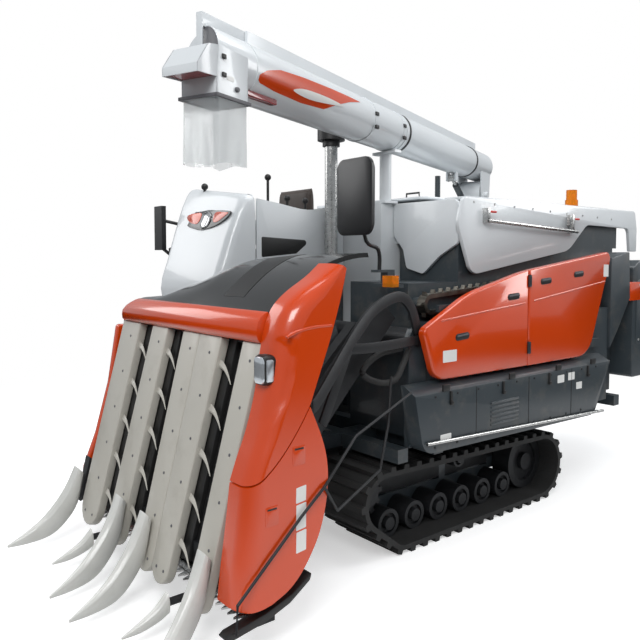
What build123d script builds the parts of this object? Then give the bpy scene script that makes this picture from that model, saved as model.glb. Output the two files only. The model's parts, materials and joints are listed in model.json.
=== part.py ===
"""Combine harvester on rubber tracks, for rice and wheat, in millimetres.

+Z is up and -Y is the front, where the crop goes in. +X is the machine's left.
The origin is on the ground below the middle of the bounding box.
"""
from build123d import *
import math
import os

# Overall size
REACH = 2400.0            # from the middle to the front points and to the rear
HALF_W = 1200.0           # from the middle to the outermost side
# Tracks
TRACK_IN = 360.0
TRACK_W = 450.0
SPROCKET = (-745.0, 330.0, 200.0)
IDLER = (790.0, 245.0, 245.0)
FRONT_BEND = (-600.0, 138.5, 138.5)
LUG_H = 25.0
LUG_PITCH = 105.0
BELT_T = 28.0
ROLLER_R = 85.0
ROLLER_Z = 53.5 + ROLLER_R
ROLLER_Y = (-600.0, -378.0, -156.0, 66.0, 288.0, 510.0)
CARRIER = (60.0, 398.0, 55.0)
# Frame and decks
DECK_Z0 = 560.0
DECK_Z1 = 640.0
GAP = 6.0                 # between pieces that move past each other
FIT = 0.05                # radial play of a shaft in its bearing
# Crop header
PIVOT_Y = -580.0
PIVOT_Z = 1250.0
PIVOT_R = 42.0
MAIN_X = 200.0
HEADER_FOOT = (MAIN_X, -985.0, 400.0)
HEADER_EYE = (MAIN_X, -900.0, 830.0)
PLATE_FOOT = (-2010.0, 150.0)
PLATE_HEAD = (-1735.0, 1331.0)
PLATE_T = 55.0
CONVEYORS = (780.0, 560.0)
BIG_HORNS = ((-600.0, -595.0), (150.0, 35.0), (430.0, 345.0), (1080.0, 935.0))
SMALL_HORNS = (-200.0, 725.0)
PLATES = ((-480.0, -245.0), (-85.0, 110.0), (263.0, 440.0), (442.0, 672.0), (855.0, 1010.0))
# Operator's place
TOWER_X0 = -1000.0
TOWER_X1 = -205.0
FLOOR_Z = 1240.0
# Grain tank and threshing unit
TANK_TOP = 2085.0
TANK_FLOOR = 1050.0
CHAIN_ENDS = ((-420.0, 1440.0, 60.0), (1420.0, 1570.0, 60.0))
CHAIN_T = 25.0
LID_X = 552.0
LID_Z = 2113.0
LID_HINGES = (200.0, 1450.0)
HINGE_X = 964.0
HINGE_Z = (1110.0, 1540.0)
BODY_X = 880.0
COVER_X = 955.0
BOX_X = 990.0
SPLIT_Y = 370.0
# Unloading auger
AUGER_X = -600.0
AUGER_Y = 1770.0
AUGER_DIR = (0.3603, -0.9328)
AUGER_AXIS_Z = 2300.0
TUBE_Z = 2580.0
TUBE_R = 135.0
COLUMN_R = 94.0
AUGER_LEN = 3900.0
AUGER_FOOT = (175.0, 2160.0)
AUGER_EYE = (620.0, 2405.0)


def box(x0, x1, y0, y1, z0, z1):
    return Pos((x0 + x1) / 2, (y0 + y1) / 2, (z0 + z1) / 2) * Box(x1 - x0, y1 - y0, z1 - z0)


def side_prism(points, x0, x1):
    """A (y, z) outline drawn out along +X."""
    plane = Plane(origin=(x0, 0, 0), x_dir=(0, 1, 0), z_dir=(1, 0, 0))
    return extrude(plane * make_face(Polyline(*points, close=True)), x1 - x0)


def plan_prism(points, z0, z1):
    """An (x, y) outline drawn out along +Z."""
    return extrude(Pos(0, 0, z0) * make_face(Polyline(*points, close=True)), z1 - z0)


def front_prism(points, y0, y1):
    """An (x, z) outline drawn out along Y."""
    plane = Plane(origin=(0, y1, 0), x_dir=(1, 0, 0), z_dir=(0, -1, 0))
    return extrude(plane * make_face(Polyline(*points, close=True)), y1 - y0)


def rod(start, end, radius):
    a, b = Vector(*start), Vector(*end)
    return extrude(Plane(origin=a, z_dir=(b - a).normalized()) * Circle(radius), (b - a).length)


def tube(start, end, radius, bore):
    return rod(start, end, radius) - rod(start, end, bore)


def bent_rod(points, radius):
    """Straight rods joined by balls at the bends."""
    shape = rod(points[0], points[1], radius)
    for a, b in zip(points[1:-1], points[2:]):
        shape += Pos(*a) * Sphere(radius)
        shape += rod(a, b, radius)
    return shape


def bar(start, end, width, depth, side=(1, 0, 0)):
    """A flat bar: width along side, depth across it."""
    a, b = Vector(*start), Vector(*end)
    plane = Plane(origin=a, x_dir=side, z_dir=(b - a).normalized())
    return extrude(plane * Rectangle(width, depth), (b - a).length)


def mirror_x(shape):
    return group(*[solid.mirror(Plane.YZ) for solid in shape.solids()])


def group(*shapes):
    """One node from solids that stay apart."""
    return Compound(children=[s for item in shapes for s in item.solids()])


def circle_points(centre, radius, count=48):
    return [(centre[0] + radius * math.cos(2 * math.pi * i / count),
             centre[1] + radius * math.sin(2 * math.pi * i / count)) for i in range(count)]


def hull(points):
    """Convex outline of 2-D points, anticlockwise."""
    points = sorted(set((round(y, 4), round(z, 4)) for y, z in points))

    def half(seq):
        out = []
        for p in seq:
            while len(out) > 1 and ((out[-1][0] - out[-2][0]) * (p[1] - out[-2][1])
                                    - (out[-1][1] - out[-2][1]) * (p[0] - out[-2][0])) <= 0:
                out.pop()
            out.append(p)
        return out[:-1]
    return half(points) + half(points[::-1])


def belt_outline(inset):
    """Outline of the track, moved in from its lug tips."""
    points = []
    for y, z, r in (SPROCKET, IDLER, FRONT_BEND):
        points += circle_points((y, z), r - inset)
    return hull(points)


def walk(outline, step):
    """Points and directions at even steps round an outline."""
    closed = outline + outline[:1]
    lengths = [math.dist(a, b) for a, b in zip(closed, closed[1:])]
    count = round(sum(lengths) / step)
    step = sum(lengths) / count
    stops, done, seg = [], 0.0, 0
    for i in range(count):
        target = i * step
        while done + lengths[seg] < target:
            done += lengths[seg]
            seg += 1
        a, b = closed[seg], closed[seg + 1]
        t = (target - done) / lengths[seg]
        stops.append(((a[0] + (b[0] - a[0]) * t, a[1] + (b[1] - a[1]) * t),
                      ((b[0] - a[0]) / lengths[seg], (b[1] - a[1]) / lengths[seg])))
    return stops


def track():
    """One closed rubber belt with its lugs."""
    belt = side_prism(belt_outline(LUG_H), TRACK_IN, TRACK_IN + TRACK_W)
    half_lug = LUG_PITCH * 0.22
    for (y, z), (dy, dz) in walk(belt_outline(LUG_H), LUG_PITCH):
        root, tip = -8.0, LUG_H
        corners = []
        for along, out in ((-half_lug, root), (half_lug, root), (half_lug * 0.75, tip), (-half_lug * 0.75, tip)):
            corners.append((y + dy * along + dz * out, z + dz * along - dy * out))
        belt += side_prism(corners, TRACK_IN, TRACK_IN + TRACK_W)
    return belt - side_prism(belt_outline(LUG_H + BELT_T), TRACK_IN - 1, TRACK_IN + TRACK_W + 1)


def wheel(y, z, radius, x0, x1, hub):
    rim = rod((x0, y, z), (x1, y, z), radius)
    dish = rod((x1 - 22, y, z), (x1 + 1, y, z), radius * 0.72)
    return rim - dish + rod((x0 - 5, y, z), (x1 + 12, y, z), hub)


def rollers():
    mid = TRACK_IN + TRACK_W / 2
    items = [wheel(y, ROLLER_Z, ROLLER_R, mid - 70, mid + 85, 38) for y in ROLLER_Y]
    items.append(wheel(CARRIER[0], CARRIER[1], CARRIER[2], mid - 70, mid + 70, 26))
    items.append(wheel(IDLER[0], IDLER[1], IDLER[2] - LUG_H - BELT_T - 1.5, mid - 70, mid + 70, 60))
    return group(*items)


def sprocket():
    y, z, r = SPROCKET
    root = r - LUG_H - BELT_T - 26
    mid = TRACK_IN + TRACK_W / 2
    gear = rod((mid - 25, y, z), (mid + 25, y, z), root)
    for i in range(12):
        a = 2 * math.pi * i / 12
        gear += Pos(mid, y + root * math.cos(a), z + root * math.sin(a)) * Rot(X=math.degrees(a)) * Box(50, 48, 32)
    return gear + rod((mid - 25, y, z), (mid + 70, y, z), 70)


def track_frame():
    """Beam that carries the rollers, and its legs up to the deck."""
    mid = TRACK_IN + TRACK_W / 2
    face = mid - 75
    beam = box(face - 90, face, -640, 560, 110, 240) + box(face - 70, face, 540, 850, 205, 285)
    beam += box(face - 60, face, CARRIER[0] - 30, CARRIER[0] + 30, 235, CARRIER[1] + 30)
    for y in (-420, 300):
        beam += box(TRACK_IN - 60, face, y, y + 110, 150, 235)
        beam += box(TRACK_IN - 60, TRACK_IN - 8, y, y + 110, 150, DECK_Z0)
    return beam


def chassis():
    rails = [box(s * 330 - 45, s * 330 + 45, -1000, 1750, DECK_Z0, DECK_Z1) for s in (-1, 1)]
    cross = [box(-760, 860, y, y + 80, DECK_Z0, DECK_Z1) for y in (-720, -420, 300, 900, 1670)]
    frame = rails[0] + rails[1]
    for c in cross:
        frame += c
    frame += box(-1000, -680, -1000, 1750, DECK_Z0, DECK_Z1)
    # Posts under the grain tank
    for x in (-960, -260):
        for y in (-160, 1500):
            frame += box(x, x + 60, y, y + 60, DECK_Z1 - 5, TANK_FLOOR)
    # Towers that hold the header's pivot
    for x in (-110, 830):
        tower = side_prism([(-500, DECK_Z1), (-640, DECK_Z1), (-650, 1250), (-620, 1310), (-560, 1320), (-510, 1250)],
                           x, x + 38)
        tower -= rod((x - 1, PIVOT_Y, PIVOT_Z), (x + 39, PIVOT_Y, PIVOT_Z), PIVOT_R + FIT)
        frame += tower
    return frame


def transmission():
    case = box(-260, 300, -900, -640, 180, DECK_Z0)
    case += rod((-TRACK_IN - 20, SPROCKET[0], SPROCKET[1]), (TRACK_IN + 20, SPROCKET[0], SPROCKET[1]), 75)
    mid = TRACK_IN + TRACK_W / 2 - 25
    case += rod((-mid, SPROCKET[0], SPROCKET[1]), (mid, SPROCKET[0], SPROCKET[1]), 55)
    # Ears and pin for the foot of the header's cylinder
    y, z = HEADER_FOOT[1:]
    for x in (MAIN_X - 44, MAIN_X + 30):
        case += box(x, x + 14, y - 35, -890, z - 40, z + 40)
    return case + rod((MAIN_X - 50, y, z), (MAIN_X + 50, y, z), 16)


def engine():
    return box(-940, -380, -700, -240, DECK_Z1, 1350)


def engine_cover():
    outer = box(-1000, -225, -760, -185, DECK_Z1, 1640)
    return outer - box(-980, -245, -740, -205, DECK_Z1 - 1, 1610)


def operator_base():
    """Dark box below the floor, its step and the floor."""
    base = box(-985, -225, -1140, -766, DECK_Z1, FLOOR_Z)
    step = box(-1120, -1000, -1080, -800, 700, 725) + box(-1010, -985, -1080, -1060, 700, 1000)
    step += box(-1010, -985, -820, -800, 700, 1000)
    return base + step


def console_tower():
    """Rounded white front of the operator's place."""
    profile = [(-1150, 1100), (-1205, 1500), (-1135, 2010), (-1105, 2110), (-1050, 2155), (-985, 2165), (-945, 2120),
               (-945, 1100)]
    tower = side_prism(profile, TOWER_X0, TOWER_X1)
    plan = [(-1010, -900), (-1010, -1060), (-960, -1150), (-860, -1215), (-340, -1215), (-245, -1150),
            (-195, -1060), (-195, -900)]
    tower = (tower & plan_prism(plan, 1000, 2300)) - box(-985, -225, -1140, -900, 1000, FLOOR_Z)
    return tower - box(-955, -250, -1125, -900, FLOOR_Z - 1, 1860)


def side_wall():
    """White wall between the operator and the header's hood, with the side console."""
    wall = side_prism([(-940, FLOOR_Z), (-940, 2110), (-760, 2090), (-560, 2075), (-420, 2090), (-195, 2150),
                       (-195, 1645), (-760, 1645), (-760, FLOOR_Z)], -225, TOWER_X1)
    console = box(-330, -226, -940, -300, 1800, 1960)
    return wall + console + box(-250, -224, -940, -300, 1700, 1960)


def levers():
    items = []
    for x, y, z0, z1 in ((-290, -796, 1960, 2250), (-285, -640, 1960, 2120), (-290, -480, 1960, 2110)):
        items.append(rod((x, y, z0), (x, y, z1), 9) + Pos(x, y, z1) * Sphere(22))
    items.append(rod((-750, -1015, 2162), (-750, -1015, 2195), 9) + Pos(-750, -1015, 2210) * Sphere(24))
    return group(*items)


def seat():
    pan = box(-790, -340, -700, -300, 1640, 1680)
    cushion = fillet(box(-800, -330, -720, -330, 1680, 1780).edges().filter_by(Axis.Z), 60)
    back = fillet(box(-790, -340, -420, -330, 1780, 2215).edges().filter_by(Axis.Y), 70)
    return pan + cushion + back


def pre_cleaner():
    x, y = -150, -360
    pipe = rod((x, y, 1440), (x, y, 2480), 44) + rod((x, y, 1500), (-225, y, 1500), 40)
    cap = rod((x, y, 2480), (x, y, 2520), 60) + rod((x, y, 2520), (x, y, 2600), 95)
    return pipe, cap


def grain_tank():
    low = front_prism([(-1000, TANK_FLOOR), (-1000, TANK_TOP), (150, TANK_TOP), (150, 1500), (-150, TANK_FLOOR)],
                      -170, 1590)
    tank = low + box(140, 545, -25, 1590, 1810, TANK_TOP)
    for bracket in lid_hinges():
        tank += bracket
    return tank


def tank_panel():
    return front_prism([(156, 2080), (156, 1760), (180, 1700), (330, 1640), (420, 1640), (560, 1740), (690, 1800),
                        (715, 2060), (690, 2080)], -54, -25)


def thresher_body():
    low = box(190, 700, -480, 1900, DECK_Z1, 1560) + box(700, BODY_X, -480, 1510, DECK_Z1, 1340)
    high = box(190, 700, -25, 1900, 1560, 1800)
    top = box(560, 700, -25, 1960, 1790, 2050)
    rail = side_prism(chain_outline(CHAIN_T), 690, 800)
    return low + high + top + rail


def drum_cover():
    side = side_prism([(-20, 2050), (-45, 1850), (30, 1636), (111, 1609), (563, 1685), (1052, 1807), (1250, 1898),
                       (1459, 1987), (1800, 2010), (2100, 1960), (2205, 2000), (2180, 2095), (1243, 2103),
                       (30, 2090)], 722, 750)
    cover = side + box(560, 750, 0, 1740, 2078, 2103)
    for y in LID_HINGES:
        cover += box(LID_X, LID_X + 30, y, y + 60, LID_Z - 10, LID_Z - 2) + rod((LID_X, y, LID_Z), (LID_X, y + 60, LID_Z), 10)
        cover -= rod((LID_X, y - 1, LID_Z), (LID_X, y + 61, LID_Z), 6 + FIT)
    return cover


def lid_hinges():
    """Brackets and pins for the drum cover, on the tank's top edge."""
    frame = []
    for y in LID_HINGES:
        bracket = rod((LID_X, y - 12, LID_Z), (LID_X, y + 72, LID_Z), 6)
        for low in (y - 12, y + 64):
            bracket += box(530, LID_X + 6, low, low + 8, LID_Z - 6, LID_Z + 6)
            bracket += box(530, 544, low, low + 8, TANK_TOP - 20, LID_Z + 6)
        frame.append(bracket)
    return frame


def cover_bar():
    bar_rod = rod((785, 150, 1985), (785, 1380, 1985), 13)
    return bar_rod + box(750, 785, 230, 260, 1975, 1995) + box(750, 785, 1270, 1300, 1975, 1995)


def chain_outline(inset):
    points = []
    for y, z, r in CHAIN_ENDS:
        points += circle_points((y, z), r - inset, 24)
    return hull(points)


def feed_chain():
    """Loop that draws the cut stalks along the drum."""
    loop = side_prism(chain_outline(0), 770, 830)
    for (y, z), (dy, dz) in walk(chain_outline(0), 70.0):
        corners = [(y - dy * 14 - dz * 5, z - dz * 14 + dy * 5), (y + dy * 14 - dz * 5, z + dz * 14 + dy * 5),
                   (y + dz * 22, z - dy * 22)]
        loop += side_prism(corners, 785, 815)
    return loop - side_prism(chain_outline(CHAIN_T), 769, 831)


def side_cover(front):
    outline = [(-630, 1287), (-613, 1203), (-562, 1114), (-477, 1043), (-300, 1033), (1032, 1035), (1120, 1130),
               (1360, 1771), (728, 1692), (67, 1622), (-100, 1597), (-221, 1560), (-355, 1498), (-483, 1446),
               (-590, 1375)]
    cover = side_prism(outline, BODY_X + 30, COVER_X)
    sign = -1 if front else 1
    y = SPLIT_Y + sign * 9
    cover &= box(0, 2000, min(SPLIT_Y + sign * GAP / 2, sign * 2500), max(SPLIT_Y + sign * GAP / 2, sign * 2500), 0,
                 3000)
    for z in HINGE_Z:
        leaf = box(COVER_X - 12, HINGE_X, y + sign * 2 - 4, y + sign * 2 + 4, z, z + 50)
        cover += leaf + rod((HINGE_X, y, z), (HINGE_X, y, z + 50), 7.5)
        cover -= rod((HINGE_X, y, z - 1), (HINGE_X, y, z + 51), 4 + FIT)
    return cover


def cover_frame():
    """Dark frame behind the two side covers, with their hinge pins."""
    frame = box(BODY_X, BODY_X + 24, -440, 1350, 1060, 1120) + box(BODY_X, BODY_X + 24, SPLIT_Y - 40, SPLIT_Y + 40,
                                                                   1060, 1600)
    frame += box(BODY_X, BODY_X + 24, -440, 1350, 1400, 1440)
    for z in HINGE_Z:
        frame += box(BODY_X + 20, HINGE_X + 4, SPLIT_Y - 1.2, SPLIT_Y + 1.2, z - 14, z + 64)
        for y in (SPLIT_Y - 9, SPLIT_Y + 9):
            frame += rod((HINGE_X, y, z - 12), (HINGE_X, y, z + 62), 4)
        for low in (z - 12, z + 52):
            frame += box(HINGE_X - 4, HINGE_X + 4, SPLIT_Y - 9, SPLIT_Y + 9, low, low + 10)
    return frame


def lower_side_box():
    return side_prism([(-753, 955), (-688, 719), (-640, 650), (-570, 618), (842, 598), (980, 605), (1101, 667),
                       (1330, 857), (1500, 1011), (-480, 1011), (-700, 985)], BODY_X, BOX_X)


def rear_column():
    return side_prism([(1530, 1150), (1540, 1780), (1720, 1800), (1850, 1700), (1850, 1150)], 700, 900)


def straw_cutter():
    profile = [(1900, 760), (1900, 1640), (2010, 1700), (REACH - 60, 1560), (REACH, 1400), (REACH, 1000),
               (2300, 760)]
    return side_prism(profile, -180, BODY_X)


def beacon():
    x, y = 480, 1650
    return rod((x, y, 1800), (x, y, 2150), 16) + rod((x, y, 2130), (x, y, 2180), 50) + rod((x, y, 2180), (x, y, 2260), 42)


def mirror_left():
    pole = bent_rod([(560, -580, 1640), (560, -580, 1780), (560, -735, 1840), (560, -735, 2240)], 12)
    glass = fillet(box(470, 660, -760, -715, 1850, 2290).edges().filter_by(Axis.Y), 40)
    return pole + glass


def mirror_post():
    """Bracket that carries the left mirror and the turn lamp."""
    post = box(530, 590, -540, -480, 1500, 1640) + box(530, 590, -620, -490, 1625, 1640)
    return post + box(560, 780, -640, -600, 1540, 1560) + box(560, 590, -640, -490, 1540, 1560)


def turn_lamp():
    return box(700, 780, -690, -640, 1545, 1610)


def mirror_right():
    arm = bent_rod([(-1000, -1000, 1950), (-1060, -1000, 1950), (-1140, -1160, 1990)], 12)
    arm += bent_rod([(-1000, -1000, 1640), (-1060, -1000, 1640), (-1140, -1160, 1790)], 12)
    return arm + box(-HALF_W, -1080, -1185, -1150, 1770, 2090)


def face_plane(x):
    """Plane of the header's front plates, its y along their length."""
    dy, dz = PLATE_HEAD[0] - PLATE_FOOT[0], PLATE_HEAD[1] - PLATE_FOOT[1]
    n = math.hypot(dy, dz)
    return Plane(origin=(x, PLATE_FOOT[0], PLATE_FOOT[1]), x_dir=(1, 0, 0), z_dir=(0, -dz / n, dy / n))


def plate_length():
    return math.dist(PLATE_FOOT, PLATE_HEAD)


def front_plates():
    items = []
    for x0, x1 in PLATES:
        w, length = x1 - x0, plate_length()
        outline = Pos(0, length / 2 + w / 4) * Rectangle(w, length - w / 2)
        outline += Pos(0, w * 0.45) * Circle(w * 0.5 - 0.01)
        items.append(extrude(face_plane((x0 + x1) / 2) * outline, -PLATE_T))
    return group(*items)


def tines():
    items = []
    for _, x1 in PLATES[:-1]:
        if x1 == PLATES[2][1]:
            continue
        for i in range(5):
            v = 190 + i * 215
            outline = make_face(Polyline((x1 + 0.5, v), (x1 + 0.5, v + 60), (x1 + 60, v + 35), (x1 + 130, v - 45),
                                         (x1 + 50, v + 5), close=True))
            items.append(extrude(Plane(origin=face_plane(0).origin + face_plane(0).z_dir * -20, x_dir=(1, 0, 0),
                                       z_dir=face_plane(0).z_dir) * outline, -14))
    return group(*items)


def plate_front_y(z):
    """Y of the plates' front face at height z."""
    (y0, z0), (y1, z1) = PLATE_FOOT, PLATE_HEAD
    return y0 + (y1 - y0) * (z - z0) / (z1 - z0)


def horn_section(x, w, low, mid, top):
    """Five-sided section; low, mid and top are (y, z)."""
    return make_face(Polyline((x - w, *mid), (x - w * 0.4, *low), (x + w * 0.4, *low), (x + w, *mid), (x, *top),
                              close=True))


def big_horn(tip_x, root_x):
    """Horn-shaped blade that parts the rows."""
    stations = [(-REACH, 56, 70, 5, 0.0), (-2300, 56, 106, 20, 0.2), (-2200, 64, 165, 34, 0.45),
                (-2110, 98, 250, 43, 0.7), (-2048, 165, 355, 46, 0.88)]
    faces = []
    for y, z0, z1, w, t in stations:
        x = tip_x + (root_x - tip_x) * t
        faces.append(horn_section(x, w, (y, z0), (y, z0 + (z1 - z0) * 0.55), (y, z1)))
    low, mid, top = [(plate_front_y(z), z) for z in (235, 350, 480)]
    faces.append(horn_section(root_x, 40, low, mid, top))
    return loft(faces, ruled=True)


def small_horn(x):
    stations = [(-2275, 60, 70, 4), (-2200, 62, 112, 18), (-2120, 82, 176, 26), (-2060, 105, 245, 26)]
    return loft([horn_section(x, w, (y, z0), (y, z0 + (z1 - z0) * 0.5), (y, z1)) for y, z0, z1, w in stations],
                ruled=True)


def dividers():
    return group(*[big_horn(*xs) for xs in BIG_HORNS], *[small_horn(x) for x in SMALL_HORNS])


def header_frame():
    frame = box(-600, 1115, -1681, -1610, 1310, 1390)
    frame += box(-655, 1115, -1830, -1740, 130, 230)
    for x in (-600, 1070):
        frame += bar((x + 20, -1650, 1350), (x + 20, -1785, 180), 40, 60)
    frame += box(-600, 1110, -1894, -1846, 330, 380)
    for x in (-600, 1070):
        frame += bar((x + 20, -1785, 200), (x + 20, -1877, 360), 40, 40)
    for x in SMALL_HORNS:
        frame += rod((x, -1825, 155), (x, -2060, 155), 18)
    x = BIG_HORNS[0][1]
    frame += side_prism([(-1890, 300), (plate_front_y(240), 240), (plate_front_y(500), 500), (-1890, 470)], x - 32,
                        x + 32)
    # Plates that carry the conveyors
    for x in (CONVEYORS[0] - 57, CONVEYORS[1] - 47):
        frame += side_prism([(-1830, 225), (-1740, 225), (-1600, 480), (-1690, 540)], x, x + 12)
    return frame


def header_pipe():
    """Main pipe from the knife up to the pivot, with the cylinder's ears."""
    frame = rod((MAIN_X, -1700, 274), (MAIN_X, PIVOT_Y, PIVOT_Z), 62) + box(MAIN_X - 90, MAIN_X + 90, -1800, -1640, 230, 300)
    frame += rod((-70, PIVOT_Y, PIVOT_Z), (828, PIVOT_Y, PIVOT_Z), 60)
    frame += rod((-115, PIVOT_Y, PIVOT_Z), (873, PIVOT_Y, PIVOT_Z), PIVOT_R)
    frame += box(MAIN_X - 30, MAIN_X + 30, -1610, -1000, 1320, 1380) + box(MAIN_X - 30, MAIN_X + 30, -1060, -1000, 900, 1380)
    # Ears and pin for the eye of the lift cylinder
    y, z = HEADER_EYE[1:]
    for x in (MAIN_X - 44, MAIN_X + 30):
        frame += side_prism([(y - 40, z - 10), (y, z - 38), (y + 40, z), (y + 40, z + 130), (y - 60, z + 180)], x, x + 14)
    return frame + rod((MAIN_X - 50, y, z), (MAIN_X - 29, y, z), 16) + rod((MAIN_X + 29, y, z), (MAIN_X + 50, y, z), 16)


def cutter_bar():
    knife = box(-600, 1100, -1880, -1830, 180, 196)
    for i in range(34):
        x = -590 + i * 50
        knife += plan_prism([(x, -1875), (x + 40, -1875), (x + 20, -1930)], 182, 192)
    return knife


def crossbar():
    profile = [(-1736, 1332), (-1752, 1350), (-1758, 1385), (-1742, 1425), (-1700, 1448), (-1610, 1455), (-1610, 1390),
               (-1695, 1390), (-1695, 1332)]
    return side_prism(profile, -655, 1115)


def hood():
    top = [(-1690, 1485), (-1500, 1580), (-1250, 1697), (-1130, 1750)]
    low = [(y + 10, z - 24) for y, z in reversed(top)]
    shell = side_prism(top + low, -640, 1020)
    return shell & plan_prism([(-600, -1720), (1012, -1720), (1012, -1100), (300, -1100), (-150, -1560)], 1000, 2000)


def side_cover_left():
    upper = side_prism([(-1828, 1110), (-1577, 1053), (-1460, 1318), (-1365, 1638), (-1408, 1697), (-1560, 1600),
                        (-1740, 1448), (-1765, 1390)], 1115, HALF_W)
    lower = side_prism([(-1830, 1100), (-1575, 1043), (-1501, 921), (-1464, 772), (-1459, 701), (-1491, 524),
                        (-1573, 351), (-1792, 224), (-2017, 305), (-1944, 698)], 1115, HALF_W)
    crest = side_prism([(-1690, 1460), (-1408, 1697), (-1365, 1638), (-1590, 1460)], 1012, 1115)
    return upper + crest, lower


def side_cover_right():
    return side_prism([(-1765, 1390), (-1740, 1448), (-1600, 1455), (-1500, 1300), (-1560, 900), (-1600, 400),
                       (-1800, 230), (-2017, 305), (-1944, 698)], -700, -655)


def header_lamp():
    return rod((1058, -1830, 1240), (1058, -1765, 1240), 50) + box(1060, 1115, -1775, -1745, 1225, 1255)


def stalk_conveyor():
    """Inclined conveyor cases from the knife up to the feed chain."""
    x0, x1 = CONVEYORS
    left = bar((x0, -1700, 420), (x0, -760, 1420), 90, 130)
    right = bar((x1, -1700, 420), (x1, -760, 1300), 70, 110)
    return group(left, right)


def auger_point(s, z, side=0.0):
    """A point on the auger's line: s along it and side across it."""
    dx, dy = AUGER_DIR
    return (AUGER_X + dx * s - dy * side, AUGER_Y + dy * s + dx * side, z)


def auger_base():
    base = rod((AUGER_X, AUGER_Y, DECK_Z1), (AUGER_X, AUGER_Y, 1900), 115)
    base += box(AUGER_X - 170, AUGER_X + 170, AUGER_Y - 165, AUGER_Y - 60, DECK_Z1, 800)
    return base - rod((AUGER_X, AUGER_Y, 1840), (AUGER_X, AUGER_Y, 1901), 80 + FIT)


def auger_column():
    col = rod((AUGER_X, AUGER_Y, 1901), (AUGER_X, AUGER_Y, 2240), COLUMN_R)
    col += rod((AUGER_X, AUGER_Y, 1901), (AUGER_X, AUGER_Y, 1960), 135)
    col += rod((AUGER_X, AUGER_Y, 1845), (AUGER_X, AUGER_Y, 1905), 80)
    col += rod(auger_point(0, AUGER_AXIS_Z, -95), auger_point(0, AUGER_AXIS_Z, 95), 132)
    col += rod(auger_point(0, AUGER_AXIS_Z, -140), auger_point(0, AUGER_AXIS_Z, 140), 30)
    s, z = AUGER_FOOT
    for side in (-37, 37):
        col += bar(auger_point(40, z, side), auger_point(s + 28, z, side), 60, 14, (0, 0, 1))
    return col + rod(auger_point(s, z, -46), auger_point(s, z, 46), 14)


def auger_tube():
    shape = rod(auger_point(-160, TUBE_Z), auger_point(AUGER_LEN, TUBE_Z), TUBE_R)
    across = (-AUGER_DIR[1], AUGER_DIR[0], 0)
    for side in (-116, 102):
        plane = Plane(origin=auger_point(0, 0, side), x_dir=(-AUGER_DIR[0], -AUGER_DIR[1], 0), z_dir=across)
        cheek = make_face(Polyline((-110, AUGER_AXIS_Z - 60), (110, AUGER_AXIS_Z - 60), (150, TUBE_Z), (-150, TUBE_Z),
                                   close=True))
        shape += extrude(plane * cheek, 14)
    bore = rod(auger_point(0, AUGER_AXIS_Z, -150), auger_point(0, AUGER_AXIS_Z, 150), 30 + FIT)
    s, z = AUGER_EYE
    for side in (-1, 1):
        shape += rod(auger_point(s, z, side * 46), auger_point(s, z, side * 29), 14)
    for side in (-44, 30):
        shape += bar(auger_point(s, z - 30, side + 7), auger_point(s, z + 80, side + 7), 60, 14,
                     (AUGER_DIR[0], AUGER_DIR[1], 0))
    return shape - bore


def auger_rib():
    a, b = auger_point(60, TUBE_Z + TUBE_R + 30), auger_point(AUGER_LEN - 250, TUBE_Z + TUBE_R + 30)
    return bar(a, b, 60, 60, (AUGER_DIR[1], -AUGER_DIR[0], 0))


def spout():
    a, b = auger_point(AUGER_LEN + 0.5, 2600), auger_point(AUGER_LEN + 300, 2600)
    head = bar(a, b, 300, 280, (AUGER_DIR[1], -AUGER_DIR[0], 0))
    return head


def spout_curtain():
    a, b = auger_point(AUGER_LEN + 30, 2301), auger_point(AUGER_LEN + 270, 2301)
    outer = bar(a, b, 260, 318, (AUGER_DIR[1], -AUGER_DIR[0], 0))
    inner = bar(auger_point(AUGER_LEN + 33, 2300), auger_point(AUGER_LEN + 267, 2300), 254, 330,
                (AUGER_DIR[1], -AUGER_DIR[0], 0))
    return outer - inner


def auger_rest():
    column = rod((120, -100, TANK_TOP), (120, -100, 2420), 40)
    return column + box(20, 240, -130, -70, 2420, 2438) + box(60, 180, -160, -40, TANK_TOP, TANK_TOP + 15)


def stay_post():
    return rod((-240, 850, TANK_TOP), (-240, 850, 2380), 22)


def cylinder_parts(foot, eye, barrel_len, r_out, r_rod, pin, side):
    """Barrel and rod of a lift cylinder between two pins."""
    f, e = Vector(*foot), Vector(*eye)
    d = (e - f).normalized()
    s = Vector(*side)
    barrel = rod(tuple(f + d * 66), tuple(f + d * barrel_len), r_out) + rod(tuple(f + d * 5), tuple(f + d * 68), 22)
    barrel += rod(tuple(f - s * 24), tuple(f + s * 24), pin + 16)
    barrel -= rod(tuple(f - s * 30), tuple(f + s * 30), pin + FIT)
    barrel -= rod(tuple(f + d * 85), tuple(f + d * (barrel_len + 1)), r_rod + FIT)
    ram = rod(tuple(f + d * 95), tuple(e - d * 20), r_rod)
    ram += rod(tuple(e - s * 24), tuple(e + s * 24), pin + 16)
    ram -= rod(tuple(e - s * 30), tuple(e + s * 30), pin + 3)
    return barrel, ram


def auger_cylinder():
    side = (-AUGER_DIR[1], AUGER_DIR[0], 0)
    return cylinder_parts(auger_point(*AUGER_FOOT), auger_point(*AUGER_EYE), 400, 28, 15, 14, side)


def header_cylinder():
    return cylinder_parts(HEADER_FOOT, HEADER_EYE, 330, 42, 22, 16, (1, 0, 0))


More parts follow.
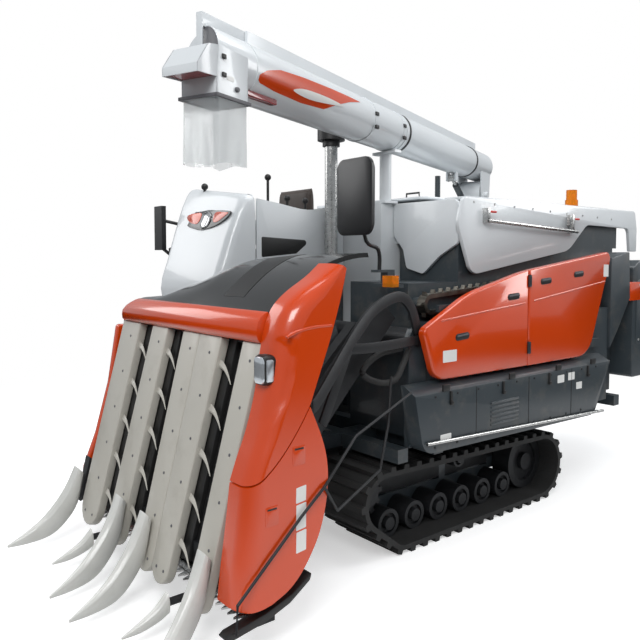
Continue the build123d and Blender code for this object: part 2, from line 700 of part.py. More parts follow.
def main():
    pipe, cap = pre_cleaner()
    upper_left, lower_left = side_cover_left()
    aug_barrel, aug_ram = auger_cylinder()
    head_barrel, head_ram = header_cylinder()
    nodes = {
        "track_left": track(),
        "track_right": mirror_x(track()),
        "rollers_left": rollers(),
        "rollers_right": mirror_x(rollers()),
        "sprockets": group(sprocket(), mirror_x(sprocket())),
        "track_frames": group(track_frame(), mirror_x(track_frame())),
        "chassis_frame": chassis(),
        "transmission": transmission(),
        "engine_block": engine(),
        "engine_cover": engine_cover(),
        "operator_base": operator_base(),
        "console_tower": console_tower(),
        "side_wall": side_wall(),
        "levers": levers(),
        "seat": seat(),
        "intake_pipe": pipe,
        "intake_cap": cap,
        "grain_tank": grain_tank(),
        "tank_panel": tank_panel(),
        "thresher_body": thresher_body(),
        "drum_cover": drum_cover(),
        "cover_bar": cover_bar(),
        "feed_chain": feed_chain(),
        "side_cover_front": side_cover(True),
        "side_cover_rear": side_cover(False),
        "cover_frame": cover_frame(),
        "lower_side_box": lower_side_box(),
        "rear_column": rear_column(),
        "straw_cutter": straw_cutter(),
        "beacon": beacon(),
        "mirror_left": mirror_left(),
        "mirror_post": mirror_post(),
        "turn_lamp": turn_lamp(),
        "mirror_right": mirror_right(),
        "front_plates": front_plates(),
        "tines": tines(),
        "dividers": dividers(),
        "header_frame": header_frame(),
        "header_pipe": header_pipe(),
        "cutter_bar": cutter_bar(),
        "crossbar": crossbar(),
        "hood": hood(),
        "header_cover_upper": upper_left,
        "header_cover_lower": lower_left,
        "header_cover_right": side_cover_right(),
        "header_lamp": header_lamp(),
        "stalk_conveyor": stalk_conveyor(),
        "auger_base": auger_base(),
        "auger_column": auger_column(),
        "auger_tube": auger_tube(),
        "auger_rib": auger_rib(),
        "spout": spout(),
        "spout_curtain": spout_curtain(),
        "auger_rest": auger_rest(),
        "stay_post": stay_post(),
        "auger_cylinder_barrel": aug_barrel,
        "auger_cylinder_rod": aug_ram,
        "header_cylinder_barrel": head_barrel,
        "header_cylinder_rod": head_ram,
    }
    os.makedirs("parts", exist_ok=True)
    for name, shape in nodes.items():
        export_step(shape, "parts/" + name + ".step")


main()
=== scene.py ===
"""Looks for the combine harvester: materials, shaped covers, small fittings, light and camera.

The helpers take lengths in millimetres. The frame and Blender's objects are in metres.
"""

import json
import math

import bmesh
import bpy
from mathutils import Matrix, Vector


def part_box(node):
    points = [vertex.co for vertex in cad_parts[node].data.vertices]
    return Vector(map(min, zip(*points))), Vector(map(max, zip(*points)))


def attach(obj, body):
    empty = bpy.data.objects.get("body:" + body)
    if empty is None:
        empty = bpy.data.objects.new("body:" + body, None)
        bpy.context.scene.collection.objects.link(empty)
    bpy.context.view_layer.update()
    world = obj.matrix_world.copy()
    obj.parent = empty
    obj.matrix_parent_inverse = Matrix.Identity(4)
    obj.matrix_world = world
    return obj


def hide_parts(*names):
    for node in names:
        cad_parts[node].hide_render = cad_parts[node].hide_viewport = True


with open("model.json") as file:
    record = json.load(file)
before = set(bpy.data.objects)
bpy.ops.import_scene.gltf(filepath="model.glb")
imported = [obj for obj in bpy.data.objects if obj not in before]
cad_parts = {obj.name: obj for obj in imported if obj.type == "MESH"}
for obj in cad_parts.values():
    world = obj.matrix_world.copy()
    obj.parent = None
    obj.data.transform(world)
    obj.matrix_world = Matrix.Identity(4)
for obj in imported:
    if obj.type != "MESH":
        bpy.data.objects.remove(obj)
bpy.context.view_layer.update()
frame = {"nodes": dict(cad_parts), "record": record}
NODES = frame["nodes"]
MM = 0.001

# Materials

DUST = (0.2, 0.17, 0.13)
COAT_ROUGH = 0.08
PAINT_IOR = 1.5
FILM_IOR = 1.3
BRUSHING = 0.4


def fill(node, **values):
    """Set a node's inputs by name, with _ for a space."""
    for key, value in values.items():
        node.inputs[key.replace("_", " ")].default_value = value


class Mat:
    """A node material with short helpers for its links."""

    def __init__(self, name):
        self.mat = bpy.data.materials.new(name)
        self.mat.use_nodes = True
        self.nodes = self.mat.node_tree.nodes
        self.links = self.mat.node_tree.links
        self.shader = self.nodes["Principled BSDF"]

    def node(self, kind, **values):
        n = self.nodes.new("ShaderNode" + kind)
        for key, value in values.items():
            setattr(n, key, value)
        return n

    def link(self, a, b):
        self.links.new(a, b)

    def feed(self, name, socket):
        """Link a socket to one of the shader's inputs."""
        self.link(socket, self.shader.inputs[name])

    def coords(self):
        return self.node("TexCoord").outputs["Object"]

    def noise(self, scale, detail, rough=0.5):
        n = self.node("TexNoise")
        fill(n, Scale=scale, Detail=detail, Roughness=rough)
        self.link(self.coords(), n.inputs["Vector"])
        return n.outputs["Fac"]

    def ramp(self, fac, low, high):
        """Colour between two stops, each a place and a colour."""
        n = self.node("ValToRGB")
        for element, (at, value) in zip(n.color_ramp.elements, (low, high)):
            element.position = at
            element.color = (*value, 1)
        self.link(fac, n.inputs["Fac"])
        return n.outputs["Color"]

    def vary(self, fac, color, low, high):
        """Ramp between two shades of a colour, each a place and a factor."""
        stops = [(at, [min(1.0, c * k) for c in color]) for at, k in (low, high)]
        return self.ramp(fac, *stops)

    def bump(self, height, strength, distance):
        n = self.node("Bump")
        fill(n, Strength=strength, Distance=distance)
        self.link(height, n.inputs["Height"])
        self.feed("Normal", n.outputs["Normal"])


def paint(name, color, rough, coat, peel, dirt=0.0):
    """Sprayed paint with slight tone changes, orange peel and, where dirt isn't 0, dust."""
    m = Mat(name)
    fill(m.shader, Roughness=rough, Coat_Weight=coat, Coat_Roughness=COAT_ROUGH, IOR=PAINT_IOR)
    tone = m.vary(m.noise(1.4, 4), color, (0.35, 0.97), (0.65, 1.03))
    if dirt:
        # Sockets 0, 6 and 7 are the mix's factor and two colours, and output 2 is its colour
        mix = m.node("Mix", data_type="RGBA")
        mask = m.ramp(m.noise(7.0, 8, 0.65), (0.52, (0, 0, 0)), (0.78, (dirt, dirt, dirt)))
        m.link(mask, mix.inputs[0])
        m.link(tone, mix.inputs[6])
        mix.inputs[7].default_value = (*DUST, 1)
        tone = mix.outputs[2]
    m.feed("Base Color", tone)
    m.feed("Roughness", m.vary(m.noise(5.0, 5), (rough,) * 3, (0.3, 0.95), (0.7, 1.08)))
    m.bump(m.noise(420.0, 2), peel, 0.0006)
    return m.mat


def plain(name, color, rough, metallic=0.0, grain=300.0, bump=0.15, coat=0.0, vary=0.1):
    """Moulded plastic, rubber or cast iron with a grain."""
    m = Mat(name)
    fill(m.shader, Roughness=rough, Metallic=metallic, Coat_Weight=coat)
    m.feed("Base Color", m.vary(m.noise(9.0, 5), color, (0.3, 1 - vary), (0.7, 1 + vary)))
    m.bump(m.noise(grain, 4), bump, 0.001)
    return m.mat


def brushed(name, color, rough):
    """Bare metal."""
    m = Mat(name)
    fill(m.shader, Roughness=rough, Metallic=1.0, Anisotropic=BRUSHING)
    m.feed("Base Color", m.vary(m.noise(30.0, 6), color, (0.3, 0.85), (0.7, 1.1)))
    m.feed("Roughness", m.vary(m.noise(60.0, 6), (rough,) * 3, (0.3, 0.7), (0.7, 1.4)))
    m.bump(m.noise(500.0, 3), 0.1, 0.0005)
    return m.mat


def clear(name, color, rough, transmission, alpha=1.0):
    """Lens or film."""
    m = Mat(name)
    fill(m.shader, Roughness=rough, Transmission_Weight=transmission, Alpha=alpha, IOR=FILM_IOR,
         Base_Color=(*color, 1))
    m.bump(m.noise(35.0, 4), 0.25, 0.004)
    return m.mat


MATS = {
    "orange": paint("orange_paint", (0.60, 0.052, 0.002), 0.24, 0.7, 0.05),
    "cream": paint("cream_paint", (0.47, 0.45, 0.40), 0.40, 0.3, 0.10, 0.2),
    "horn": paint("horn_paint", (0.62, 0.62, 0.59), 0.36, 0.4, 0.08, 0.15),
    "white": paint("white_paint", (0.66, 0.69, 0.71), 0.30, 0.5, 0.05),
    "slate": paint("slate_paint", (0.030, 0.040, 0.047), 0.40, 0.25, 0.12, 0.3),
    "black_gloss": paint("black_gloss", (0.004, 0.004, 0.004), 0.16, 0.35, 0.02),
    "black": plain("black_plastic", (0.012, 0.012, 0.012), 0.45, grain=600, bump=0.2),
    "grey": plain("grey_plastic", (0.10, 0.10, 0.11), 0.5, grain=600, bump=0.2),
    "rubber": plain("rubber", (0.014, 0.014, 0.014), 0.72, grain=260, bump=0.35, vary=0.25),
    "dark_iron": plain("dark_iron", (0.018, 0.019, 0.021), 0.5, 0.3, 350, 0.3, vary=0.25),
    "steel": brushed("steel", (0.55, 0.55, 0.54), 0.28),
    "chrome": brushed("chrome", (0.80, 0.80, 0.80), 0.10),
    "chain": brushed("chain_steel", (0.16, 0.15, 0.13), 0.4),
    "seat": plain("seat_vinyl", (0.045, 0.032, 0.026), 0.55, grain=900, bump=0.35),
    "amber": clear("amber_lens", (1.0, 0.33, 0.02), 0.15, 0.6),
    "red": plain("red_reflector", (0.22, 0.006, 0.008), 0.2, coat=0.8, grain=900),
    "red_grip": plain("red_grip", (0.55, 0.02, 0.01), 0.4),
    "label": plain("label_film", (0.72, 0.72, 0.70), 0.35, grain=200, bump=0.05, vary=0.03),
    "lens": plain("lamp_lens", (0.62, 0.66, 0.70), 0.08, 0.6, 90, 0.5, 1.0),
    "curtain": clear("curtain_film", (0.80, 0.84, 0.84), 0.30, 0.75, 0.55),
    "mirror": plain("mirror_shell", (0.010, 0.010, 0.011), 0.35, grain=700, bump=0.15),
}
SLOT_OF = {row["node"]: row["material_slot"] for row in frame["record"]["subparts"]}
SLOT_OF["straw_cutter"] = "slate"
DARK_NODES = ("stalk_conveyor", "header_pipe", "transmission", "header_frame")
for node_name, obj in NODES.items():
    obj.data.materials.clear()
    obj.data.materials.append(MATS["dark_iron" if node_name in DARK_NODES else SLOT_OF[node_name]])

# Axes and outlines

AUGER_FOOT = (-600.0, 1770.0)
AUGER_DIR = (0.3603, -0.9328)
PLATE_FOOT = (-2010.0, 150.0)
PLATE_HEAD = (-1735.0, 1331.0)
PLATE_LEN = math.dist(PLATE_FOOT, PLATE_HEAD)
ARC_TURN = 0.3
ARC_STEPS = 14
NEARLY_STRAIGHT = 1.56


def place(axis, a, b, c):
    """Point of an outline (a, b) at depth c along the axis.

    On the auger, a runs along the tube and b is the height. On the front plates, a is X and b
    runs up the plates.
    """
    if axis == "x":
        return (c, a, b)
    if axis == "y":
        return (a, c, b)
    if axis == "z":
        return (a, b, c)
    if axis == "auger":
        dx, dy = AUGER_DIR
        return (AUGER_FOOT[0] + dx * a - dy * c, AUGER_FOOT[1] + dy * a + dx * c, b)
    dy, dz = PLATE_HEAD[0] - PLATE_FOOT[0], PLATE_HEAD[1] - PLATE_FOOT[1]
    y = PLATE_FOOT[0] + (b * dy - c * dz) / PLATE_LEN
    z = PLATE_FOOT[1] + (b * dz + c * dy) / PLATE_LEN
    return (a, y, z)


def outward(axis, a=0, b=0):
    """Direction in which the depth of an axis grows."""
    return Vector(place(axis, a, b, 1)) - Vector(place(axis, a, b, 0))


def rounded(corners, step=8.0):
    """Points of a closed outline whose corners (a, b, radius) are arcs."""
    out = []
    for i, (a, b, r) in enumerate(corners):
        p, q, s = (Vector(corners[k % len(corners)][:2]) for k in (i - 1, i, i + 1))
        u, v = (p - q).normalized(), (s - q).normalized()
        half = math.acos(max(-1.0, min(1.0, u.dot(v)))) / 2
        if half > NEARLY_STRAIGHT:
            out.append((a, b))
            continue
        r = min(r, min((p - q).length, (s - q).length) * 0.49 * math.tan(half))
        centre = q + (u + v).normalized() * (r / math.sin(half))
        start = q + u * (r / math.tan(half)) - centre
        sweep = math.pi - 2 * half
        sign = 1 if u.x * v.y - u.y * v.x < 0 else -1
        count = min(ARC_STEPS, max(2, int(r * sweep / step) + 1, int(sweep / ARC_TURN) + 1))
        for k in range(count + 1):
            t = sign * sweep * k / count
            c, sn = math.cos(t), math.sin(t)
            out.append((centre.x + start.x * c - start.y * sn,
                        centre.y + start.x * sn + start.y * c))
    return out


def round_box(a0, a1, b0, b1, radius, step=8.0):
    """Outline of a rectangle with round corners."""
    corners = [(a0, b0, radius), (a1, b0, radius), (a1, b1, radius), (a0, b1, radius)]
    return rounded(corners, step)


def smooth_line(points, count=6, closed=False):
    """Catmull-Rom curve through points of any dimension."""
    n = len(points)
    out = []
    for i in range(n if closed else n - 1):
        p = [points[(i + k) % n] if closed else points[max(0, min(n - 1, i + k))]
             for k in (-1, 0, 1, 2)]
        for k in range(count):
            t = k / count
            out.append(tuple(0.5 * (2 * b + (c - a) * t + (2 * a - 5 * b + 4 * c - d) * t * t
                                    + (3 * b - a - 3 * c + d) * t ** 3)
                             for a, b, c, d in zip(*p)))
    if not closed:
        out.append(tuple(points[-1]))
    return out


def value_at(line, at):
    """First number of a line of pairs where the second number is at."""
    pts = sorted(line, key=lambda p: p[1])
    for (ya, za), (yb, zb) in zip(pts, pts[1:]):
        if za <= at <= zb:
            return ya + (yb - ya) * (at - za) / max(1e-9, zb - za)
    return pts[0][0] if at < pts[0][1] else pts[-1][0]


def step(v):
    """Smooth rise from 0 to 1."""
    v = max(0.0, min(1.0, v))
    return v * v * (3 - 2 * v)


def turns(count):
    """Angles of count equal steps round a circle."""
    return [2 * math.pi * i / count for i in range(count)]


def box_mm(node):
    """Low and high corner of a node's box."""
    return [[v / MM for v in p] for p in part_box(node)]


# Meshes

MERGE = 0.05
BEVEL_FROM = 0.6


def finish_mesh(name, bm, mat, body, bevel=0.0, sharp=38.0, replaces=(), segments=2):
    """Close, bevel and shade a mesh, and parent it to the empty of the body it rides on."""
    bmesh.ops.remove_doubles(bm, verts=bm.verts, dist=MERGE * MM)
    bmesh.ops.recalc_face_normals(bm, faces=bm.faces)
    if bevel:
        edges = [e for e in bm.edges
                 if len(e.link_faces) == 2 and e.calc_face_angle(0) > BEVEL_FROM]
        bmesh.ops.bevel(bm, geom=edges, offset=bevel * MM, segments=segments, profile=0.5,
                        affect="EDGES", clamp_overlap=True)
    mesh = bpy.data.meshes.new(name)
    bm.to_mesh(mesh)
    bm.free()
    mesh.shade_smooth()
    mesh.set_sharp_from_angle(angle=math.radians(sharp))
    mesh.materials.append(MATS[mat])
    obj = bpy.data.objects.new(name, mesh)
    bpy.context.collection.objects.link(obj)
    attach(obj, body)
    if replaces:
        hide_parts(*replaces)
    return obj


def add_loft(bm, rings, caps=True):
    """Skin over rings with the same number of points, closed at both ends by caps."""
    rows = [[bm.verts.new(Vector(p) * MM) for p in ring] for ring in rings]
    n = len(rows[0])
    for a, b in zip(rows, rows[1:]):
        for i in range(n):
            j = (i + 1) % n
            bm.faces.new((a[i], a[j], b[j], b[i]))
    if caps:
        bm.faces.new(rows[0])
        bm.faces.new(rows[-1][::-1])
    return rows


def lofts(name, sets, mat, body, caps=True, **more):
    """One piece made of several lofts."""
    bm = bmesh.new()
    for rings in sets:
        add_loft(bm, rings, caps)
    return finish_mesh(name, bm, mat, body, **more)


def loft(name, rings, mat, body, **more):
    return lofts(name, [rings], mat, body, **more)


def prism_rings(axis, points, lo, hi):
    """An outline at two depths along an axis."""
    return [[place(axis, a, b, depth) for a, b in points] for depth in (lo, hi)]


def prisms(name, items, mat, body, **more):
    """Several prisms as one piece. An item is an axis, an outline and two depths."""
    lofts(name, [prism_rings(*item) for item in items], mat, body, **more)


def prism(name, axis, points, lo, hi, mat, body, **more):
    prisms(name, [(axis, points, lo, hi)], mat, body, **more)


def slab(x0, x1, y0, y1, z0, z1):
    """Prism item for a plain box."""
    return ("x", [(y0, z0), (y1, z0), (y1, z1), (y0, z1)], x0, x1)


def plank(s0, s1, z0, z1, lo, hi):
    """Prism item for a box that lies along the auger."""
    return ("auger", [(s0, z0), (s0, z1), (s1, z1), (s1, z0)], lo, hi)


def label(name, y, z, half_w, half_h, x0, x1, body):
    """Blank film on a face that looks to the left."""
    outline = round_box(y - half_w, y + half_w, z - half_h, z + half_h, 5)
    prism(name, "x", outline, x0, x1, "label", body)


def stepped(outline, centre, steps):
    """Rings of an outline in (x, z), each at a Y and with a share of its size."""
    cx, cz = centre
    return [[(cx + (x - cx) * k, y, cz + (z - cz) * k) for x, z in outline] for y, k in steps]


def ring_round(p, d, radius, count):
    """Circle of points round p, square to d."""
    d = Vector(d).normalized()
    side = d.cross(Vector((0, 0, 1)))
    if side.length < 0.1:
        side = d.cross(Vector((0, 1, 0)))
    side.normalize()
    up = side.cross(d)
    return [Vector(p) + side * radius * math.cos(a) + up * radius * math.sin(a)
            for a in turns(count)]


def pipe_rings(points, radius, count=10):
    rings = []
    for i, p in enumerate(points):
        before, after = points[max(0, i - 1)], points[min(len(points) - 1, i + 1)]
        rings.append(ring_round(p, Vector(after) - Vector(before), radius, count))
    return rings


def pipes(name, lines, radius, mat, body, smooth=1, count=10, **more):
    """Round bars along lines of points, curved between them where smooth is above 1."""
    if smooth > 1:
        lines = [smooth_line(points, smooth) for points in lines]
    lofts(name, [pipe_rings(points, radius, count) for points in lines], mat, body, **more)


def disc_rings(p, d, radius, height, count):
    """Low turned button with a rounded rim."""
    p, d = Vector(p), Vector(d).normalized()
    return [ring_round(p + d * height * rise, d, radius * size, count)
            for rise, size in ((0, 1), (0.6, 1), (1, 0.75))]


def discs(name, spots, radius, height, mat, body, count=16):
    """Buttons or bolt heads as one piece. A spot is a point and a direction."""
    lofts(name, [disc_rings(p, d, radius, height, count) for p, d in spots], mat, body)


# Left cover of the header. Its lines are in (y, z).

COVER_X0 = 1014.0
COVER_FACE = 1179.0
COVER_ROUND = 92.0
REAR_TURN = 35.0
LOW_COUNT = 44
UP_COUNT = 70
SEAM_BOW = -46
HOLLOW_DEPTH = 15
HOLLOW_TOP = 1374
HOLLOW_FOOT = 925
FRONT_LOW = [(-1968, 256), (-1954, 380), (-1935, 506), (-1917, 640), (-1904, 748)]
REAR_LOW = [(-1800, 243), (-1700, 285), (-1620, 360), (-1545, 480), (-1503, 620), (-1493, 760),
            (-1520, 895), (-1592, 1060)]
FRONT_UP = [(-1903, 757), (-1868, 850), (-1820, 965), (-1772, 1132), (-1742, 1316),
            (-1720, 1410), (-1680, 1490), (-1605, 1556), (-1491, 1624), (-1412, 1684)]
REAR_UP = [(-1592, 1071), (-1540, 1199), (-1480, 1348), (-1424, 1511), (-1396, 1610),
           (-1384, 1662)]
HOLLOW = [(-1868, 935), (-1769, 1019), (-1704, 1106), (-1672, 1200), (-1662, 1300),
          (-1676, 1350), (-1720, 1372)]
CREASE = [(-1716, 1372), (-1690, 1384), (-1640, 1398), (-1560, 1408), (-1470, 1410)]


def even(points, count):
    """Smooth line through points, cut into equal lengths."""
    line = smooth_line(points, 8)
    run = [0.0]
    for p, q in zip(line, line[1:]):
        run.append(run[-1] + math.dist(p, q))
    out = []
    k = 0
    for i in range(count + 1):
        want = run[-1] * i / count
        while k < len(run) - 2 and run[k + 1] < want:
            k += 1
        t = (want - run[k]) / max(1e-9, run[k + 1] - run[k])
        out.append(tuple(u + (v - u) * t for u, v in zip(line[k], line[k + 1])))
    return out


def across(width):
    """Points over one section, each its way from the front edge and its X.

    They follow the round front corner, the face and the rear edge, which is turned under.
    """
    front, rear = min(COVER_ROUND, width * 0.5), min(REAR_TURN, width * 0.25)
    spots = []
    for k in range(9):
        turn = math.radians(k * 11.25)
        x = COVER_FACE - COVER_ROUND * (1 - math.sin(turn))
        spots.append((front * (1 - math.cos(turn)), x))
    spots += [(front + (width - front - rear) * k / 30, COVER_FACE) for k in range(1, 30)]
    for k in range(6):
        share = 1 - math.cos(math.radians(k * 18))
        spots.append((width - rear * share, COVER_FACE - REAR_TURN * share))
    return spots


def cover_sections(front, rear, bow0, bow1, count):
    """Slanting sections of one half, outer points first and then the inner ones."""
    rows = []
    for i, (f, r) in enumerate(zip(even(front, count), even(rear, count))):
        width = math.dist(f, r)
        bow = bow0 + (bow1 - bow0) * (i / count)
        outer, inner = [], []
        for d, x in across(width):
            u = d / width
            y = f[0] + (r[0] - f[0]) * u
            z = f[1] + (r[1] - f[1]) * u + bow * 4 * u * (1 - u)
            dip = HOLLOW_DEPTH * step((value_at(HOLLOW, z) - y) / 22)
            dip *= step((HOLLOW_TOP - z) / 20)
            dip *= step((z - HOLLOW_FOOT) / 30)
            outer.append((x - dip, y, z))
            inner.append((COVER_X0, y, z))
        rows.append(outer + inner[::-1])
    return rows


def cover_half(name, rows):
    """Shell over the sections, whose ends are strips of quads because they are bent."""
    bm = bmesh.new()
    grid = add_loft(bm, rows, caps=False)
    n = len(grid[0])
    for row in (grid[0], grid[-1]):
        for i in range(n // 2 - 1):
            bm.faces.new((row[i], row[i + 1], row[n - 2 - i], row[n - 1 - i]))
    finish_mesh(name, bm, "orange", "header", sharp=50, replaces=["header_" + name])


def left_cover():
    """Two halves that share an S-shaped seam."""
    cover_half("cover_lower", cover_sections(FRONT_LOW, REAR_LOW, -12, SEAM_BOW, LOW_COUNT))
    cover_half("cover_upper", cover_sections(FRONT_UP, REAR_UP, SEAM_BOW, 0, UP_COUNT))


def cover_details():
    """Crease above the hollow, two flush latches and three blank labels."""
    x = COVER_FACE
    crease = [(x - 4.5, y, z) for y, z in smooth_line(CREASE, 5)]
    pipes("cover_crease", [crease], 7.5, "orange", "header")
    for number, (y, z) in enumerate(((-1655, 858), (-1798, 625))):
        rim = round_box(y - 34, y + 34, z - 42, z + 42, 8)
        flap = round_box(y - 25, y + 25, z - 33, z + 24, 5)
        slit = slab(x, x + 2.0, y - 24, y + 24, z + 25, z + 33)
        prism("cover_latch_rim_%d" % number, "x", rim, x - 4, x + 1.6, "orange", "header", bevel=1)
        prism("cover_latch_%d" % number, "x", flap, x, x + 2.6, "orange", "header", bevel=1.2)
        prisms("cover_latch_slit_%d" % number, [slit], "black", "header")
    for number, (z0, z1) in enumerate(((428, 520), (528, 640), (648, 716))):
        pad = rounded([(-1672, z0, 4), (-1618, z0 + 6, 4), (-1616, z1 + 6, 4), (-1670, z1, 4)])
        prism("cover_label_%d" % number, "x", pad, x - 1, x + 0.8, "label", "header")


def lamp():
    """Work lamp in the hollow: a black shell with a lens in front and one at its side."""
    x, z = 1082, 1229
    shell = rounded([(x - 42, z - 66, 22), (x + 42, z - 66, 30), (x + 42, z + 66, 30),
                     (x - 42, z + 66, 22)])
    rings = stepped(shell, (x, z), ((-1716, 0.94), (-1752, 1.0), (-1780, 1.0), (-1792, 0.93)))
    loft("lamp_shell", rings, "black", "header", replaces=["header_lamp"])
    rings = stepped(shell, (x, z), ((-1791, 0.90), (-1797, 0.86), (-1801, 0.70), (-1802, 0.35)))
    loft("lamp_lens", rings, "lens", "header")
    side = rounded([(-1786, z - 48, 8), (-1748, z - 48, 12), (-1748, z + 48, 12),
                    (-1786, z + 48, 8)])
    prism("lamp_side", "x", side, 1122, 1127, "lens", "header", bevel=2)


# Band and hood over the plates. A row of the hood is a point of its rear edge.

BAND = [(-1736, 1332), (-1754, 1348), (-1760, 1372), (-1760, 1400), (-1752, 1428),
        (-1738, 1448), (-1718, 1464), (-1698, 1472), (-1690, 1446), (-1690, 1332)]
BAND_LEFT = 1012
HOOD_FRONT = (-1694, 1470)
HOOD_ROWS = [(-330, -1640, 1478), (-180, -1560, 1492), (20, -1400, 1580), (300, -1225, 1706),
             (650, -1110, 1733), (1008, -1095, 1735)]


def band_end(z):
    """X of the band's slanted right end at height z."""
    if z < 1420:
        return -464 + (z - 1332) * 0.34
    return -420 + (z - 1420) * 1.7


def band():
    rings = [[(band_end(z), y, z) for y, z in BAND], [(BAND_LEFT, y, z) for y, z in BAND]]
    loft("band", rings, "orange", "header", bevel=3, replaces=["crossbar"])


def hood_surface(x, share, lift=0.0):
    """Point on the hood at x, share of the way to its rear edge."""
    i = max(k for k in range(len(HOOD_ROWS) - 1) if x >= HOOD_ROWS[k][0] or k == 0)
    (xa, ya, za), (xb, yb, zb) = HOOD_ROWS[i], HOOD_ROWS[i + 1]
    t = (x - xa) / (xb - xa)
    t = step(t) * 0.4 + t * 0.6
    y0, z0 = HOOD_FRONT
    y1, z1 = ya + (yb - ya) * t, za + (zb - za) * t
    return (x, y0 + (y1 - y0) * share, z0 + (z1 - z0) * (1 - (1 - share) ** 2) + lift)


def hood():
    """Curved shell, and a dull strip that crosses it at a slant."""
    shares = [i / 16 for i in range(17)]
    shell = []
    for i in range(45):
        top = [hood_surface(-330 + 1338 * i / 44, s) for s in shares]
        shell.append(top + [(x, y + 8, z - 22) for x, y, z in reversed(top)])
    loft("hood_shell", shell, "black_gloss", "header", sharp=45, replaces=["hood"])
    strip = []
    for k in range(9):
        top = [hood_surface(540 + 22 * k - 130 * s, 0.10 + 0.86 * s, 2.0) for s in shares]
        strip.append(top + [(x, y, z - 3) for x, y, z in reversed(top)])
    loft("hood_strip", strip, "black", "header", sharp=45)


# Plates, tines and horns. A plate is the two X's of its top and the two of its foot.

PLATES = [(-480, -240, -544, -300), (-77, 112, -150, 40), (287, 462, 258, 428),
          (465, 673, 433, 598), (860, 1009, 801, 948)]
PLATE_THICK = 50
TINE_DEPTH = -26
CASE_LAP = 26
CASE_FOOT = 150
CASE_STRIPS = [(0.0, 0.36, -66), (0.64, 1.0, -66), (0.30, 0.70, -92)]
NARROW_GAP = 40
# Y and Z of a horn's upper line, of its lower line, half its width, share of the way to the root
HORN_ROWS = [(-2399, 66, -2398, 52, 5, 0.0), (-2300, 112, -2285, 50, 20, 0.2),
             (-2200, 175, -2165, 68, 32, 0.45), (-2115, 262, -2076, 128, 38, 0.7),
             (-2054, 350, -2001, 232, 42, 0.9), (-2004, 452, -1962, 402, 42, 1.0)]
SMALL_ROWS = [(-2275, 70, -2274, 60, 4, 0), (-2200, 102, -2190, 62, 16, 0),
              (-2120, 145, -2104, 84, 24, 0), (-2060, 205, -2052, 110, 26, 0)]
HORN_SECTION = [(-0.45, 1.0), (-0.88, 0.86), (-1.0, 0.6), (-0.8, 0.2), (-0.4, 0.0), (0.4, 0.0),
                (0.8, 0.2), (1.0, 0.6), (0.88, 0.86), (0.45, 1.0)]
# X of the tip and of the root
BIG_HORNS = [(-600, -595), (150, 35), (430, 345), (1080, 935)]
SMALL_HORNS = [-200, 725]


def front_plates():
    """Five plates with round feet, and their bolts."""
    plates, bolts = [], []
    for top0, top1, foot0, foot1 in PLATES:
        r, mid = (foot1 - foot0) / 2, (foot0 + foot1) / 2
        arc = [math.pi * k / 10 for k in range(11)]
        outline = [(mid - r * math.cos(a), r - r * math.sin(a)) for a in arc]
        outline += [(top1, PLATE_LEN), (top0, PLATE_LEN)]
        plates.append(("plate", outline, -PLATE_THICK, 0))
        for k in range(6):
            v = 70 + k * 212
            t = v / PLATE_LEN
            x0, x1 = foot0 + (top0 - foot0) * t, foot1 + (top1 - foot1) * t
            for side in ((0.28, 0.72) if k == 0 else (0.62,)):
                x = x0 * (1 - side) + x1 * side
                bolts.append((place("plate", x, v, -0.5), outward("plate", x, v)))
    prisms("plates", plates, "cream", "header", bevel=7, segments=3, replaces=["front_plates"])
    discs("plate_bolts", bolts, 7.5, 3.5, "grey", "header", 8)


def tine(x, v):
    """Rings of one curved tine whose root is at height v of the plate."""
    spine = smooth_line([(x + 2, v + 30), (x + 45, v + 18), (x + 90, v - 12), (x + 128, v - 48)],
                        4)
    rings = []
    for k, (a, b) in enumerate(spine):
        w = 26 * (1 - k / (len(spine) - 1)) ** 0.8 + 3
        h = 7 * (1 - k / len(spine)) + 2
        rings.append([place("plate", a, up, TINE_DEPTH + out)
                      for up, out in ((b + w, 0), (b, h), (b - w * 0.5, 0), (b, -h))])
    return rings


def tines():
    sets = []
    for number in (0, 1, 3):
        _, top, _, foot = PLATES[number]
        for v in range(190, 1051, 215):
            sets.append(tine(foot + (top - foot) * v / PLATE_LEN, v))
    lofts("tine_set", sets, "cream", "header", bevel=1.5, replaces=["tines"])


def horn(rows, tip_x, root_x):
    """Rings of one divider, from its tip to its root."""
    rings = []
    for yt, zt, yl, zl, w, t in smooth_line(rows, 4):
        x = tip_x + (root_x - tip_x) * t
        rings.append([(x + w * side, yl + (yt - yl) * h, zl + (zt - zl) * h)
                      for side, h in HORN_SECTION])
    return rings


def horns():
    sets = [horn(HORN_ROWS, tip_x, root_x) for tip_x, root_x in BIG_HORNS]
    sets += [horn(SMALL_ROWS, x, x) for x in SMALL_HORNS]
    lofts("horn_set", sets, "horn", "header", bevel=2.5, sharp=45, replaces=["dividers"])


